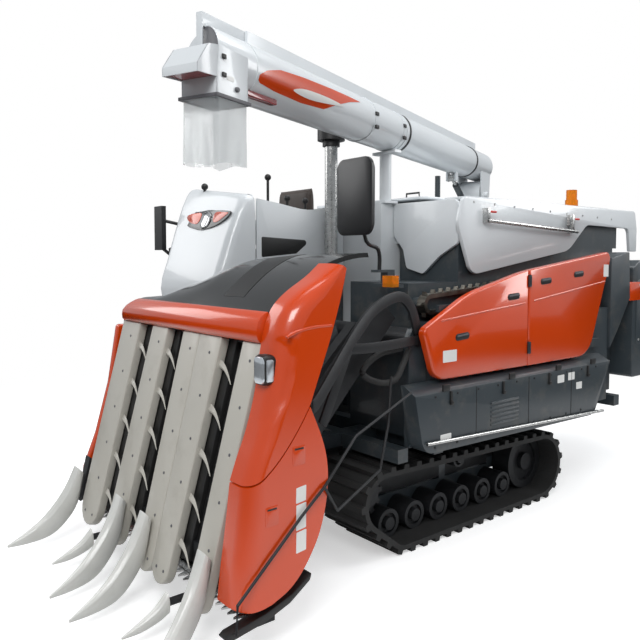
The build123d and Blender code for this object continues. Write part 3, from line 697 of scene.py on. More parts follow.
def lifter_cases():
    """Dark cases of the lifting chains between the plates, with rollers in the wide gaps."""
    cases, rollers = [], []
    for (_, top0, _, foot0), (top1, _, foot1, _) in zip(PLATES, PLATES[1:]):
        for lo, hi, deep in CASE_STRIPS:
            f0, f1 = (foot0 - CASE_LAP + (foot1 - foot0 + 2 * CASE_LAP) * t for t in (lo, hi))
            t0, t1 = (top0 - CASE_LAP + (top1 - top0 + 2 * CASE_LAP) * t for t in (lo, hi))
            outline = [(f0, CASE_FOOT), (f1, CASE_FOOT), (t1, PLATE_LEN), (t0, PLATE_LEN)]
            cases.append(("plate", outline, deep - 22, deep + 14))
        if foot1 - foot0 < NARROW_GAP:
            continue
        foot, top = (foot0 + foot1) / 2, (top0 + top1) / 2
        for k in range(9):
            v = 220 + k * 118
            x = foot + (top - foot) * (v / PLATE_LEN)
            rollers.append((place("plate", x, v, -79), outward("plate")))
    prisms("lifter_cases", cases, "black", "header", bevel=4)
    discs("lifter_rollers", rollers, 17, 12, "dark_iron", "header")


# Operator's place. A row of the tower is its Z, its front's Y, an inset and a tilt in degrees.

TOWER_ROWS = [(1100, -1200, 0, 0), (1300, -1232, 0, 0), (1500, -1262, 0, 0), (1571, -1250, 0, 1),
              (1685, -1208, 0, 2), (1865, -1150, 0, 4), (2034, -1088, 0, 6), (2110, -1052, 3, 7),
              (2142, -1034, 10, 7), (2160, -1018, 24, 7), (2168, -1000, 46, 7)]
TOWER_FRONT = [(y, z) for z, y, _, _ in TOWER_ROWS]
TOWER_X = (-1000, -205)
TOWER_MID = -602
TOWER_BACK = -945
FRONT_R = 70
BACK_R = 16
WALL_X = -205
TRIM = [(-860, 2010), (-790, 2028), (-656, 2030), (-560, 2034), (-450, 2026), (-330, 2018),
        (-262, 2005), (-300, 1966), (-402, 1924), (-561, 1900), (-672, 1908), (-788, 1932),
        (-850, 1970)]
WINGS = [[(-838, 2000), (-790, 2018), (-660, 2020), (-636, 1990), (-650, 1950), (-700, 1944),
          (-790, 1966)],
         [(-290, 2000), (-340, 2008), (-440, 2014), (-464, 1990), (-450, 1952), (-400, 1946),
          (-330, 1976)]]


def tower_ring(z, front, inset, tilt):
    """Section of the tower, with large round corners in front and small ones behind."""
    x0, x1, back = TOWER_X[0] + inset, TOWER_X[1] - inset, TOWER_BACK - inset * 0.3
    ring = []
    for mx, my, r, start in ((x0 + FRONT_R, front + FRONT_R, FRONT_R, 180),
                             (x1 - FRONT_R, front + FRONT_R, FRONT_R, 270),
                             (x1 - BACK_R, back - BACK_R, BACK_R, 0),
                             (x0 + BACK_R, back - BACK_R, BACK_R, 90)):
        for k in range(9):
            angle = math.radians(start + k * 11.25)
            x, y = mx + r * math.cos(angle), my + r * math.sin(angle)
            drop = (x - TOWER_MID) * math.tan(math.radians(tilt))
            ring.append((x, min(y, back), z - drop))
    return ring


def console():
    """Front tower, and the side wall with its console and a flat black sheet painted as the shade in
    its recess.
    """
    loft("tower_shell", [tower_ring(*row) for row in TOWER_ROWS], "white", "chassis", sharp=45,
         replaces=["console_tower"])
    outline = smooth_line([(-940, 2098), (-774, 2076), (-521, 2042), (-324, 2076), (-200, 2110)],
                          4)
    outline += [(-195, 1645), (-760, 1645), (-760, 1240), (-940, 1240)]
    wall = [("x", outline, WALL_X - 18, WALL_X), slab(-330, -226, -935, -300, 1800, 1958)]
    prisms("wall_shell", wall, "white", "chassis", bevel=5, replaces=["side_wall"])
    # Painted shade: a thin black sheet on the wall's face stands in for the shade inside the recess.
    recess_shade = rounded([(-906, 1716, 10), (-906, 1850, 10), (-500, 1832, 20), (-622, 1742, 30)])
    prism("wall_recess_shade", "x", recess_shade, WALL_X - 2, WALL_X + 1.5, "black", "chassis", bevel=1)


def on_tower(outline, lifts):
    """Rings of a smooth outline in (x, z), set off from the tower's front."""
    points = smooth_line(outline, 4, True)
    return [[(x, value_at(TOWER_FRONT, z) + lift, z) for x, z in points] for lift in lifts]


def tower_lamp():
    """Gloss black trim with two orange wings, and a round lamp in the middle."""
    loft("tower_trim", on_tower(TRIM, (4, -5)), "black_gloss", "chassis", bevel=2)
    for number, wing in enumerate(WINGS):
        rings = on_tower(wing, (-2, -8))
        loft("tower_wing_%d" % number, rings, "orange", "chassis", bevel=1.5)
    centre = Vector((-550, value_at(TOWER_FRONT, 1962) - 4, 1962))
    axis = Vector((0, -0.95, 0.3))
    rings = [ring_round(centre + axis * h, axis, r, 32)
             for h, r in ((0, 62), (8, 62), (12, 54), (6, 44), (4, 4))]
    loft("tower_lamp", rings, "chrome", "chassis", sharp=45)


# Auger. Depth near is its left side, as it stands in the photograph's view.

TUBE_Z = 2580
TUBE_R = 135
TUBE_CUT = 3930
CUT_SLANT = 0.52
SPOUT_S = 4000
SPOUT_LOW = 2388
SPOUT_HIGH = 2600
SPOUT_NEAR = 138
SPOUT_FAR = -52
SLEEVE_TOP = 2386
SLEEVE_LOW = 2112
COLLARS = [(2430, 2452, 5), (1990, 2012, 5), (2020, 2424, 2), (1925, 1955, 4), (3700, 3716, 3)]
STRAPS = [(1880, 1900, 5), (320, 345, 5)]
# Upper and lower line of the orange band, in (height, way along the tube)
BAND_TOP = [(2661, 2647), (2664, 2800), (2663, 3000), (2655, 3300), (2640, 3524), (2612, 3640),
            (2570, 3715)]
BAND_LOW = [(2661, 2647), (2632, 2800), (2590, 2950), (2545, 3076), (2535, 3300), (2540, 3550),
            (2550, 3680), (2570, 3715)]


def spout():
    """Open box of thin walls under a slanting roof, with a rim that holds the sleeve."""
    s, low, high, near, far = SPOUT_S, SPOUT_LOW, SPOUT_HIGH, SPOUT_NEAR, SPOUT_FAR
    s0, s1 = s - 203, s + 20
    front = [(s0, low), (s0, high - 4), (s + 3, high), (s1, high - 4), (s1, low)]
    roof = [(s + 3, high), (s + 70, high - 12), (s + 140, high - 104), (s + 140, high - 140),
            (s + 134, high - 140), (s + 134, high - 107), (s + 67, high - 18), (s + 3, high - 8)]
    cheek = roof[:4] + [(s + 18, high - 134)]
    walls = [("auger", front, near - 5, near),
             plank(s0, s1, low, low + 150, far, far + 5),
             plank(s0, s0 + 5, low, low + 120, far, near),
             plank(s1 - 5, s1, low, high - 40, far, near),
             ("auger", roof, far, near),
             ("auger", cheek, near - 5, near + 0.5),
             ("auger", cheek, far - 0.5, far + 5)]
    prisms("spout_box", walls, "white", "auger_boom", bevel=2, replaces=["spout"])
    rim = [plank(a, b, low - 4, low + 10, lo, hi)
           for a, b, lo, hi in ((s - 212, s + 30, near, near + 12), (s - 212, s + 30, far - 12, far),
                                (s1, s + 32, far, near), (s - 212, s0, far, near))]
    prisms("spout_rim", rim, "grey", "auger_boom", bevel=2)
    lining = [(s + 22, high - 130), (s + 22, high - 30), (s + 60, high - 30),
              (s + 128, high - 112), (s + 128, high - 130)]
    prism("spout_inside", "auger", lining, far + 8, near - 8, "red", "auger_boom")


def cut_ring(out, radius):
    """Ring in the slanting plane of the tube's end, or out beyond it."""
    return [tube_point(TUBE_CUT + out + radius * math.cos(a) * CUT_SLANT, a, radius - TUBE_R)
            for a in turns(40)]


def tube_end():
    """End of the tube with its slanting cap, and the rib's end bracket."""
    skin = [[tube_point(3880, a) for a in turns(40)], cut_ring(0, TUBE_R)]
    loft("tube_end", skin, "white", "auger_boom", sharp=30)
    cap = [cut_ring(out, radius) for out, radius in ((2, 132), (4, 128), (4, 60))]
    loft("tube_cap", cap, "grey", "auger_boom", sharp=30)
    rib = [(3650, 2712), (3650, 2774), (3960, 2774), (3960, 2560), (3950, 2560), (3950, 2712)]
    prism("rib_end", "auger", rib, -20, 14, "white", "auger_boom", bevel=2)


def spout_fittings():
    """Clips, a knob and a blank label on the spout's near side."""
    s, near = SPOUT_S, SPOUT_NEAR
    clips = [plank(s - 40, s - 14, z - 10, z + 10, near, near + 9) for z in (2558, 2482)]
    prisms("spout_clips", clips, "black", "auger_boom", bevel=3)
    knob = (place("auger", s - 118, 2438, near), outward("auger"))
    discs("spout_knob", [knob], 12, 12, "grey", "auger_boom")
    pad = round_box(s - 100, s - 52, 2466, 2486, 4)
    prism("spout_label", "auger", pad, near - 1, near + 1, "label", "auger_boom")


def curtain():
    """Clear sleeve below the spout, four hanging sides with soft folds."""
    s, top, low, near, far = SPOUT_S, SLEEVE_TOP, SLEEVE_LOW, SPOUT_NEAR, SPOUT_FAR
    corners = round_box(s - 203, s + 20, far, near, 18, 6)
    fine = []
    for (a, b), (c, d) in zip(corners, corners[1:] + corners[:1]):
        n = max(1, int(math.dist((a, b), (c, d)) / 8))
        fine += [(a + (c - a) * k / n, b + (d - b) * k / n) for k in range(n)]
    mid = (s - 92, (near + far) / 2)
    rings = []
    for i in range(25):
        t = i / 24
        ring = []
        for k, (a, b) in enumerate(fine):
            wave = 5.0 * t * math.sin(k * 0.42 + 2.2 * t) + 3.0 * t * math.sin(k * 0.17 - 3 * t)
            n = Vector((a - mid[0], b - mid[1])).normalized()
            lower = low + 7 * math.sin(k * 0.21) + 5 * math.sin(k * 0.09)
            ring.append(place("auger", a + n.x * wave, top + (lower - top) * t, b + n.y * wave))
        rings.append(ring)
    obj = loft("curtain_sleeve", rings, "curtain", "auger_boom", caps=False, sharp=80,
               replaces=["spout_curtain"])


def tube_point(s, angle, lift=0.0):
    """Point on the tube's skin, or lift above it. Angle 0 is its near side and 90 its top."""
    r = TUBE_R + lift
    return place("auger", s, TUBE_Z + r * math.sin(angle), r * math.cos(angle))


def band_angle(z):
    """Angle round the tube for a height in the band's lines, where 2612 is the near side."""
    return math.asin(max(-0.99, min(0.99, (z - 2612) / 130)))


def swoosh():
    """Orange band along the tube, with a blank pale field in it."""
    rings = []
    for i in range(61):
        s = 2650 + 1064 * i / 60
        lo = value_at(BAND_LOW, s)
        hi = max(value_at(BAND_TOP, s), lo + 0.5)
        angles = [band_angle(lo + (hi - lo) * k / 5) for k in range(6)]
        rings.append([tube_point(s, a, 1.2) for a in angles]
                     + [tube_point(s, a, -0.5) for a in reversed(angles)])
    loft("swoosh", rings, "orange", "auger_boom", sharp=50)
    field = smooth_line([(s, band_angle(z)) for s, z in (
        (3400, 2572), (3320, 2596), (3150, 2604), (2980, 2602), (2880, 2594), (3020, 2578),
        (3240, 2562))], 4, True)
    mid_s = sum(s for s, _ in field) / len(field)
    mid_a = sum(a for _, a in field) / len(field)
    rings = [[tube_point(s, a, 1.0) for s, a in field]]
    for k in range(4):
        share = 1 - k / 3.15
        rings.append([tube_point(mid_s + (s - mid_s) * share, mid_a + (a - mid_a) * share, 3.0)
                      for s, a in field])
    loft("swoosh_lens", rings, "label", "auger_boom", sharp=50)


def collar(s0, s1, lift):
    """Rings of an open band round the tube."""
    return [[tube_point(s, a, k) for a in turns(48)]
            for s, k in ((s0, 0), (s0, lift), (s1, lift), (s1, 0))]


def auger_bands():
    """Collars, straps and clips along the tube, and a reflector under it."""
    for name, rows, mat in (("tube_collars", COLLARS, "white"), ("tube_straps", STRAPS, "black")):
        lofts(name, [collar(*row) for row in rows], mat, "auger_boom", caps=False, sharp=30)
    clips = [plank(s - 18, s + 18, z - 12, z + 12, 128, 146)
             for s in (2441, 2001) for z in (2600, 2520)]
    prisms("tube_clips", clips, "black", "auger_boom", bevel=4)
    box = round_box(3500, 3790, 2450, 2476, 6)
    prism("tube_reflector", "auger", box, 60, 96, "red", "auger_boom", bevel=3)


# Side of the threshing unit, in (y, z)

SIDE_BACK = 912
SIDE_FACE = 955
SIDE_ROUND = 14
SIDE_CORNERS = [(-625, 1310, 40), (-520, 1018, 110), (1120, 1016, 200), (1418, 1764, 45),
                (331, 1628, 2500), (-226, 1502, 900)]
SIDE_CREASE = [(-700, 1338), (75, 1404), (370, 1429), (1234, 1532), (1500, 1563)]
SIDE_HANDLES = [(-290, 1255, "front"), (205, 1470, "front"), (560, 1560, "rear"),
                (960, 1600, "rear")]
SIDE_LABELS = [(-400, 1150, 60, 34, "front"), (1330, 1620, 34, 44, "rear")]
BOX_BACK = 880
BOX_FACE = 990
BOX_LABELS = [(-470, 700, 46, 18), (700, 900, 40, 26), (830, 905, 40, 26), (930, 830, 36, 24)]
DRUM_CORNERS = [(-40, 2092, 40), (-92, 1930, 110), (48, 1602, 90), (1170, 1765, 260),
                (1420, 1962, 120), (2066, 1952, 50), (2094, 1766, 10), (2200, 1766, 10),
                (2203, 1950, 60), (2168, 2098, 40)]
HINGE_R = 10
SPRING_R = 12
# In (x, z)
TANK_PANEL = [(158, 2082, 4), (716, 2082, 40), (716, 1805, 30), (566, 1722, 60), (425, 1605, 40),
              (276, 1643, 30), (246, 1766, 40), (158, 1863, 20)]


def clip(points, limit, below):
    """Part of an outline on one side of a limit for the first number."""
    out = []
    for p, q in zip(points, points[1:] + points[:1]):
        p_in = p[0] <= limit if below else p[0] >= limit
        q_in = q[0] <= limit if below else q[0] >= limit
        if p_in:
            out.append(p)
        if p_in != q_in:
            t = (limit - p[0]) / (q[0] - p[0])
            out.append((p[0] + (q[0] - p[0]) * t, p[1] + (q[1] - p[1]) * t))
    return out


def toward(p, mid, distance):
    """Point that lies a distance from p on the way to mid."""
    v = Vector(mid) - Vector(p)
    return Vector(p) + v.normalized() * distance


def inside(p, points, margin):
    """Whether p lies within the outline and farther than margin from its points."""
    hit = False
    for (ya, za), (yb, zb) in zip(points, points[1:] + points[:1]):
        if (za > p[1]) != (zb > p[1]) and p[0] < (yb - ya) * (p[1] - za) / (zb - za) + ya:
            hit = not hit
        if math.dist(p, (ya, za)) < margin:
            return False
    return hit


def side_cover(name, lo, hi):
    """One cover between two Y's, with a round edge and a raised crease."""
    body = "side_" + name
    points = clip(clip(rounded(SIDE_CORNERS, 20), lo, False), hi, True)
    mid = [sum(p[k] for p in points) / len(points) for k in (0, 1)]
    rings = [[(SIDE_BACK, y, z) for y, z in points]]
    for degrees in (0, 30, 60, 90):
        turn = math.radians(degrees)
        inset = SIDE_ROUND * (1 - math.cos(turn))
        x = SIDE_FACE - SIDE_ROUND + SIDE_ROUND * math.sin(turn)
        rings.append([(x, *toward(p, mid, inset)) for p in points])
    loft(name, rings, "orange", body, sharp=50, replaces=[body])
    crease = [(SIDE_FACE - 3.5, y, z) for y, z in smooth_line(SIDE_CREASE, 12)
              if lo + 14 < y < hi - 14 and inside((y, z), points, 26)]
    pipes(name + "_crease", [crease], 7, "orange", body)


def side_covers():
    """The two orange covers with their handles and blank labels."""
    side_cover("cover_front", -700, 367)
    side_cover("cover_rear", 373, 1500)
    for number, (y, z, end) in enumerate(SIDE_HANDLES):
        body = "side_cover_" + end
        rim = rounded([(y - 62, z - 24, 20), (y + 62, z - 16, 20), (y + 62, z + 24, 20),
                       (y - 62, z + 16, 20)], 5)
        grip = rounded([(y - 50, z - 2, 8), (y + 50, z + 6, 8), (y + 50, z + 16, 8),
                        (y - 50, z + 8, 8)], 5)
        prism("handle_rim_%d" % number, "x", rim, SIDE_FACE - 5, SIDE_FACE + 3, "black", body,
              bevel=2)
        prism("handle_grip_%d" % number, "x", grip, SIDE_FACE + 1, SIDE_FACE + 7, "grey", body,
              bevel=2)
    for number, (y, z, half_w, half_h, end) in enumerate(SIDE_LABELS):
        label("side_label_%d" % number, y, z, half_w, half_h, SIDE_FACE - 0.5, SIDE_FACE + 1,
              "side_cover_" + end)


def lower_box():
    """Long dark box below the covers, with a rail, latches, seams and blank labels."""
    outline = rounded([(-724, 1008, 4), (-652, 628, 95), (1140, 596, 90), (1352, 1008, 4)], 15)
    rings = [[(x, y, z) for y, z in outline] for x in (BOX_BACK, BOX_BACK + 24)]
    rings.append([(BOX_FACE, y, min(z, 960)) for y, z in outline])
    loft("side_box", rings, "slate", "chassis", sharp=40, bevel=3, replaces=["lower_side_box"])
    pipes("side_rail", [[(1003, -640, 689), (1003, 1240, 611)]], 10, "steel", "chassis")
    feet = [slab(988, 1004, y, y + 26, z - 9, z + 9)
            for y, z in ((-560, 686), (330, 649), (1150, 615))]
    prisms("side_rail_feet", feet, "slate", "chassis", bevel=2)
    latches = []
    for y in (-430, 60, 560, 1040):
        latches.append(slab(988, 999, y - 9, y + 9, 880, 958))
        latches.append(slab(999, 1006, y - 13, y + 13, 880, 900))
    prisms("side_latches", latches, "black", "chassis", bevel=2)
    seams = [slab(BOX_FACE - 1, BOX_FACE + 1.5, y, y + 4, 640, 955) for y in (-200, 330, 830)]
    prisms("side_seams", seams, "black", "chassis")
    for number, row in enumerate(BOX_LABELS):
        label("box_label_%d" % number, *row, BOX_FACE - 0.5, BOX_FACE + 1.2, "chassis")


def drum_skin():
    """White drum cover with hinge barrels, bar, springs and levers."""
    skin = [("x", rounded(DRUM_CORNERS, 14), 722, 750), slab(560, 748, 0, 1740, 2078, 2100)]
    for y in (200, 1450):
        barrel = [(552 + HINGE_R * math.cos(a), 2113 + HINGE_R * math.sin(a)) for a in turns(16)]
        skin += [slab(552, 582, y, y + 60, 2098, 2111), ("y", barrel, y, y + 60)]
    prisms("drum_skin", skin, "white", "drum_cover", bevel=5, replaces=["drum_cover"])
    ends = [slab(748, 792, 150, 178, 1936, 2030), slab(748, 792, 1150, 1178, 1895, 2026)]
    bar = [pipe_rings([(785, 160, 1950), (785, 1226, 1904)], 13)]
    bar += [prism_rings(*end) for end in ends]
    lofts("drum_bar", bar, "steel", "drum_cover", bevel=2, replaces=["cover_bar"])
    springs = []
    for y, z in ((170, 1950), (1120, 1945)):
        springs.append([(772 + SPRING_R * math.cos(k * 0.9), y + SPRING_R * math.sin(k * 0.9),
                         z + k * 1.6) for k in range(50)])
    pipes("drum_springs", springs, 2.5, "steel", "drum_cover", count=6)
    levers = [slab(776, 790, y, y + 70, z, z + 14) for y, z in ((178, 2000), (1178, 1990))]
    prisms("drum_levers", levers, "red_grip", "drum_cover", bevel=5)


def tank_front():
    prism("tank_front", "y", rounded(TANK_PANEL), -54, -26, "white", "chassis", bevel=5,
          replaces=["tank_panel"])


def rear_pieces():
    """Column behind the rear cover, with its orange cap."""
    column = [(1517, 1031), (1517, 1712), (1792, 1759), (1815, 1400), (1633, 1160)]
    prism("column_shell", "x", column, 702, 899, "slate", "chassis", bevel=6,
          replaces=["rear_column"])
    cap = rounded([(1820, 1376, 20), (2016, 1376, 20), (2016, 1523, 30), (1820, 1523, 30)])
    prism("rear_cap", "x", cap, 800, 890, "orange", "chassis", bevel=6)


# Rods, arms, hoses, mirror and seat

ROD_X = 1193
GUARD_RODS = [[(1140, -1960, 160), (ROD_X, -1985, 185), (ROD_X, -1979, 303), (ROD_X, -1653, 592),
               (ROD_X, -1524, 694), (1110, -1262, 863), (1012, -780, 994)],
              [(ROD_X, -1524, 694), (1172, -1430, 560), (1070, -1063, 649), (1040, -978, 858),
               (1012, -930, 1100)]]
SKID = [(-1570, 270), (-1680, 200), (-1810, 158), (-1990, 132), (-2012, 150), (-1990, 166),
        (-1810, 196), (-1670, 238), (-1560, 300)]
COVER_ARM = [(1150, -1572, 1052), (1130, -1500, 1085), (960, -1067, 1395), (905, -790, 1500),
             (890, -660, 1440), (880, -590, 1290)]
COVER_STRUT = [[(985, -1200, 1260), (1050, -1420, 930)],
               [(880, -590, 1250), (960, -1000, 1250), (985, -1200, 1260)]]
LOOP = [(860, -700, 1210), (870, -890, 1190), (880, -1010, 1110), (890, -900, 1046),
        (900, -790, 1050), (890, -720, 1120), (870, -650, 1200)]
MIRROR_POLE = [(560, -580, 1640), (560, -590, 1760), (560, -700, 1840), (560, -700, 2230)]
PAD_GRID = 18


def bars(name, lines, half_width, half_depth):
    """Flat bars that follow lines on the header's left side."""
    out = Vector((half_depth, 0, 0))
    sets = []
    for line in lines:
        points = smooth_line(line, 6) if len(line) > 2 else line
        rings = []
        for i, p in enumerate(points):
            before, after = points[max(i - 1, 0)], points[min(i + 1, len(points) - 1)]
            along = Vector(after) - Vector(before)
            side = Vector((0, -along.z, along.y)).normalized() * half_width
            p = Vector(p)
            rings.append([p - side - out, p - side + out, p + side + out, p + side - out])
        sets.append(rings)
    lofts(name, sets, "dark_iron", "header", bevel=3)


def guard_rods():
    """Guard rods and skid at the header's left, and the arms that carry its cover."""
    pipes("guard_rods", GUARD_RODS, 7.0, "dark_iron", "header")
    prism("skid", "x", SKID, 1090, 1150, "black", "header", bevel=5)
    bars("cover_arm", [COVER_ARM], 28, 9)
    bars("cover_strut", COVER_STRUT, 26, 8)


def hydraulic_loop():
    pipes("loop_hose", [LOOP], 17, "rubber", "chassis", smooth=8, count=12)


def mirrors():
    """Left mirror's shell and pole."""
    outline = round_box(380, 680, 1842, 2288, 60)
    steps = ((-716, 0.80), (-722, 0.92), (-740, 1.0), (-758, 1.0), (-762, 0.95))
    loft("mirror_shell", stepped(outline, (530, 2065), steps), "mirror", "chassis", sharp=45)
    pipes("mirror_pole", [MIRROR_POLE], 12, "mirror", "chassis", smooth=6,
          replaces=["mirror_left"])


def seat_pad(name, centre, size, lying):
    """Crowned pad, lying or upright, with sewn channels in its upper or front side."""
    bm = bmesh.new()
    u_size, v_size, thick = size
    n = PAD_GRID
    for side in (1, -1):
        rows = []
        for i in range(n + 1):
            row = []
            for j in range(n + 1):
                u, v = 2 * i / n - 1, 2 * j / n - 1
                edge = (1 - abs(u) ** 4) * (1 - abs(v) ** 4)
                channel = 0.05 * math.exp(-((abs(u) - 0.45) * 16) ** 2) if side == 1 else 0
                t = side * (thick / 2) * max(0.0, (edge ** 0.35) - channel)
                pull = 1 - 0.03 * (1 - abs(t) / (thick / 2))
                a, b = u * u_size / 2 * pull, v * v_size / 2 * pull
                p = (a, b, t) if lying else (a, -t, b)
                row.append(bm.verts.new((Vector(centre) + Vector(p)) * MM))
            rows.append(row)
        for i in range(n):
            for j in range(n):
                bm.faces.new((rows[i][j], rows[i + 1][j], rows[i + 1][j + 1], rows[i][j + 1]))
    obj = finish_mesh(name, bm, "seat", "chassis", sharp=80)
    return obj


def seat():
    """Cushion, backrest and the pan and bracket that carry them."""
    cushion = seat_pad("seat_cushion", (-565, -525, 1735), (460, 380, 95), True)
    seat_pad("seat_back", (-535, -375, 2000), (390, 430, 85), False)
    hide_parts("seat")
    pan = [slab(-790, -340, -700, -300, 1642, 1682), slab(-600, -470, -345, -315, 1680, 1900)]
    prisms("seat_pan", pan, "black", "chassis", bevel=6)


# Panels, louvres, lids and handles on the right side, rear and top

TANK_FOOT = 90
TANK_HEAD = 80
BOLT_PITCH = 132
SLAT_COUNT = 20
SLAT_PITCH = 36
RIGHT_COVER = [(-1700, 1290, 20), (-1757, 937, 300), (-1845, 620, 300), (-1925, 415, 60),
               (-1940, 290, 40), (-1800, 240, 60), (-1600, 400, 150), (-1560, 900, 300),
               (-1620, 1290, 20)]
CUTTER_SIDE = [(1950, 1020, 50), (2260, 1020, 50), (2320, 1100, 60), (2320, 1330, 60),
               (2250, 1470, 60), (1950, 1560, 50)]
GRAB_RAIL = [(-985, -1130, 1300), (-1020, -1150, 1320), (-1020, -1150, 1780),
             (-985, -1110, 1800)]


def panel_set(name, axis, level, out, panels, mat, radius=40):
    """Raised panels with rounded corners on one flat face."""
    lo, hi = sorted((level - out * 0.4, level + out))
    prisms(name, [(axis, round_box(*panel, radius, 10), lo, hi) for panel in panels], mat,
           "chassis", bevel=5)


def tank_details():
    """Panels, windows, lid and bolts of the grain tank."""
    lo, hi = box_mm("grain_tank")
    foot, head = lo[2] + TANK_FOOT, hi[2] - TANK_HEAD
    sides = [(lo[1] + 60, lo[1] + 600), (lo[1] + 650, lo[1] + 1180), (lo[1] + 1230, hi[1] - 60)]
    backs = [(lo[0] + 60, lo[0] + 200), (-400, hi[0] - 60)]
    panel_set("tank_side_panels", "x", lo[0], -9, [(*ab, foot, head) for ab in sides], "white")
    panel_set("tank_rear_panels", "y", hi[1], 9, [(*ab, foot, head) for ab in backs], "white")
    windows = [slab(lo[0] - 13, lo[0] - 6, lo[1] + 250, lo[1] + 330, z, z + 110)
               for z in (lo[2] + 330, lo[2] + 550, lo[2] + 770)]
    prisms("tank_windows", windows, "black_gloss", "chassis", bevel=3)
    top = hi[2]
    lid = round_box(-860, 330, 60, 1440, 50, 12)
    prism("tank_lid", "z", lid, top - 4, top + 14, "white", "chassis", bevel=6)
    grips = [[(x, 120, top + 8), (x, 120, top + 46), (x + 120, 120, top + 46),
              (x + 120, 120, top + 8)] for x in (-760, 110)]
    pipes("tank_lid_grips", grips, 7, "black", "chassis", bevel=2)
    straps = [slab(x, x + 46, 1400, 1480, top - 2, top + 20) for x in (-760, -290, 180)]
    prisms("tank_lid_hinges", straps, "steel", "chassis", bevel=3)
    bolts = [((lo[0] - 0.5, lo[1] + 30 + BOLT_PITCH * k, z), (-1, 0, 0))
             for k in range(14) for z in (lo[2] + 34, hi[2] - 30)]
    discs("tank_bolts", bolts, 9, 6, "steel", "chassis", 6)


def engine_details():
    """Grille of the engine cover: frame, slats and latches."""
    lo, hi = box_mm("engine_cover")
    x = lo[0]
    rim = [(lo[1] + 50, hi[1] - 50, lo[2] + 110, hi[2] - 130)]
    panel_set("grille_frame", "x", x, -10, rim, "black", 30)
    slats = []
    for k in range(SLAT_COUNT):
        z = lo[2] + 150 + k * SLAT_PITCH
        section = [(x - 22, z), (x - 19, z - 4), (x - 8, z + 14), (x - 11, z + 18)]
        slats.append(("y", section, lo[1] + 80, hi[1] - 80))
    prisms("grille_slats", slats, "grey", "chassis", bevel=1)
    latches = [slab(x - 20, x - 4, y, y + 44, hi[2] - 100, hi[2] - 60)
               for y in (lo[1] + 90, hi[1] - 130)]
    prisms("grille_latches", latches, "black", "chassis", bevel=4)


def grab_rail():
    pipes("grab_rail", [GRAB_RAIL], 11, "black", "chassis", bevel=2)


def straw_cutter():
    """Rounded rear hood with two pressed doors, handles, reflectors, side panels and bolts."""
    lo, hi = box_mm("straw_cutter")
    back = hi[1] - 9
    profile = [(1900, lo[2]), (1900, 1640), (2010, hi[2]), (back - 52, 1560), (back, 1400),
               (back, 1000), (2300, lo[2])]
    shell = rounded([(y, z, 35) for y, z in profile], 12)
    prism("cutter_shell", "x", shell, lo[0], hi[0], "slate", "chassis", bevel=9,
          replaces=["straw_cutter"])
    doors = [(lo[0] + 50, lo[0] + 500, 1030, 1380), (lo[0] + 540, hi[0] - 50, 1030, 1380)]
    panel_set("cutter_doors", "y", back, 7, doors, "slate", 30)
    handles = [[(x, back + 1, 1190), (x, back - 1, 1250)] for x in (lo[0] + 460, lo[0] + 590)]
    pipes("cutter_handles", handles, 8, "black", "chassis", bevel=2)
    lights = [((x, back + 1, 1330), (0, 1, 0)) for x in (lo[0] + 100, hi[0] - 100)]
    discs("cutter_reflectors", lights, 32, 7, "red", "chassis", 20)
    side = rounded(CUTTER_SIDE)
    for number, x in enumerate((lo[0], hi[0])):
        prism("cutter_side_%d" % number, "x", side, x - 6, x + 6, "slate", "chassis", bevel=4)
    bolts = [((hi[0] + 5.5, y, z), (1, 0, 0))
             for y, z in ((1990, 1060), (2270, 1110), (2270, 1330), (1990, 1500))]
    discs("cutter_bolts", bolts, 10, 7, "steel", "chassis", 6)


def right_cover():
    prism("cover_right", "x", rounded(RIGHT_COVER, 18), -700, -654, "orange", "header", bevel=12,
          segments=4, replaces=["header_cover_right"])


def box_vents():
    """Louvres and hinges on the left lower box."""
    x = BOX_FACE
    vents = [("y", [(x, z), (x + 4, z - 2), (x + 6, z + 10), (x, z + 14)], -60, 220)
             for z in range(700, 831, 26)]
    prisms("box_vents", vents, "slate", "chassis", bevel=1)
    hinges = [slab(x - 6, x + 6, y, y + 60, 962, 1000) for y in (-500, 120, 640, 1080)]
    prisms("box_hinges", hinges, "black", "chassis", bevel=3)


def track_guards():
    """Dark plates that close the frames between the rollers and the upper run."""
    outline = rounded([(-560, 250, 60), (770, 250, 60), (800, 500, 40), (-560, 500, 40)])
    plates = [("x", outline, x0, x0 + 14) for x0 in (495, -509)]
    prisms("track_guards", plates, "dark_iron", "chassis", bevel=3)


def box_bolts():
    """Bolt heads along the lower box and the drum cover."""
    left = (1, 0, 0)
    spots = [((BOX_FACE, -560 + 190 * k, 940), left) for k in range(10)]
    spots += [((BOX_FACE, -560 + 190 * k, 655), left) for k in range(9)]
    discs("box_bolts", spots, 8, 4, "dark_iron", "chassis", 6)
    spots = [((749.5, 60 + 215 * k, 2066 - 6 * k), left) for k in range(9)]
    discs("drum_bolts", spots, 8, 4, "steel", "drum_cover", 6)


# Floor, light and camera

FLOOR_HALF = 40.0
FADE_FROM = 2.6
FADE_TO = 6.5
CAM_POS = (3.471, -3.399, 1.704)
CAM_YAW = 50.932
CAM_PITCH = 3.0
FOCAL_PX = 676.3
CENTRE_PX = (320.0, 294.5)
PHOTO_PX = 640.0
SENSOR = 36.0


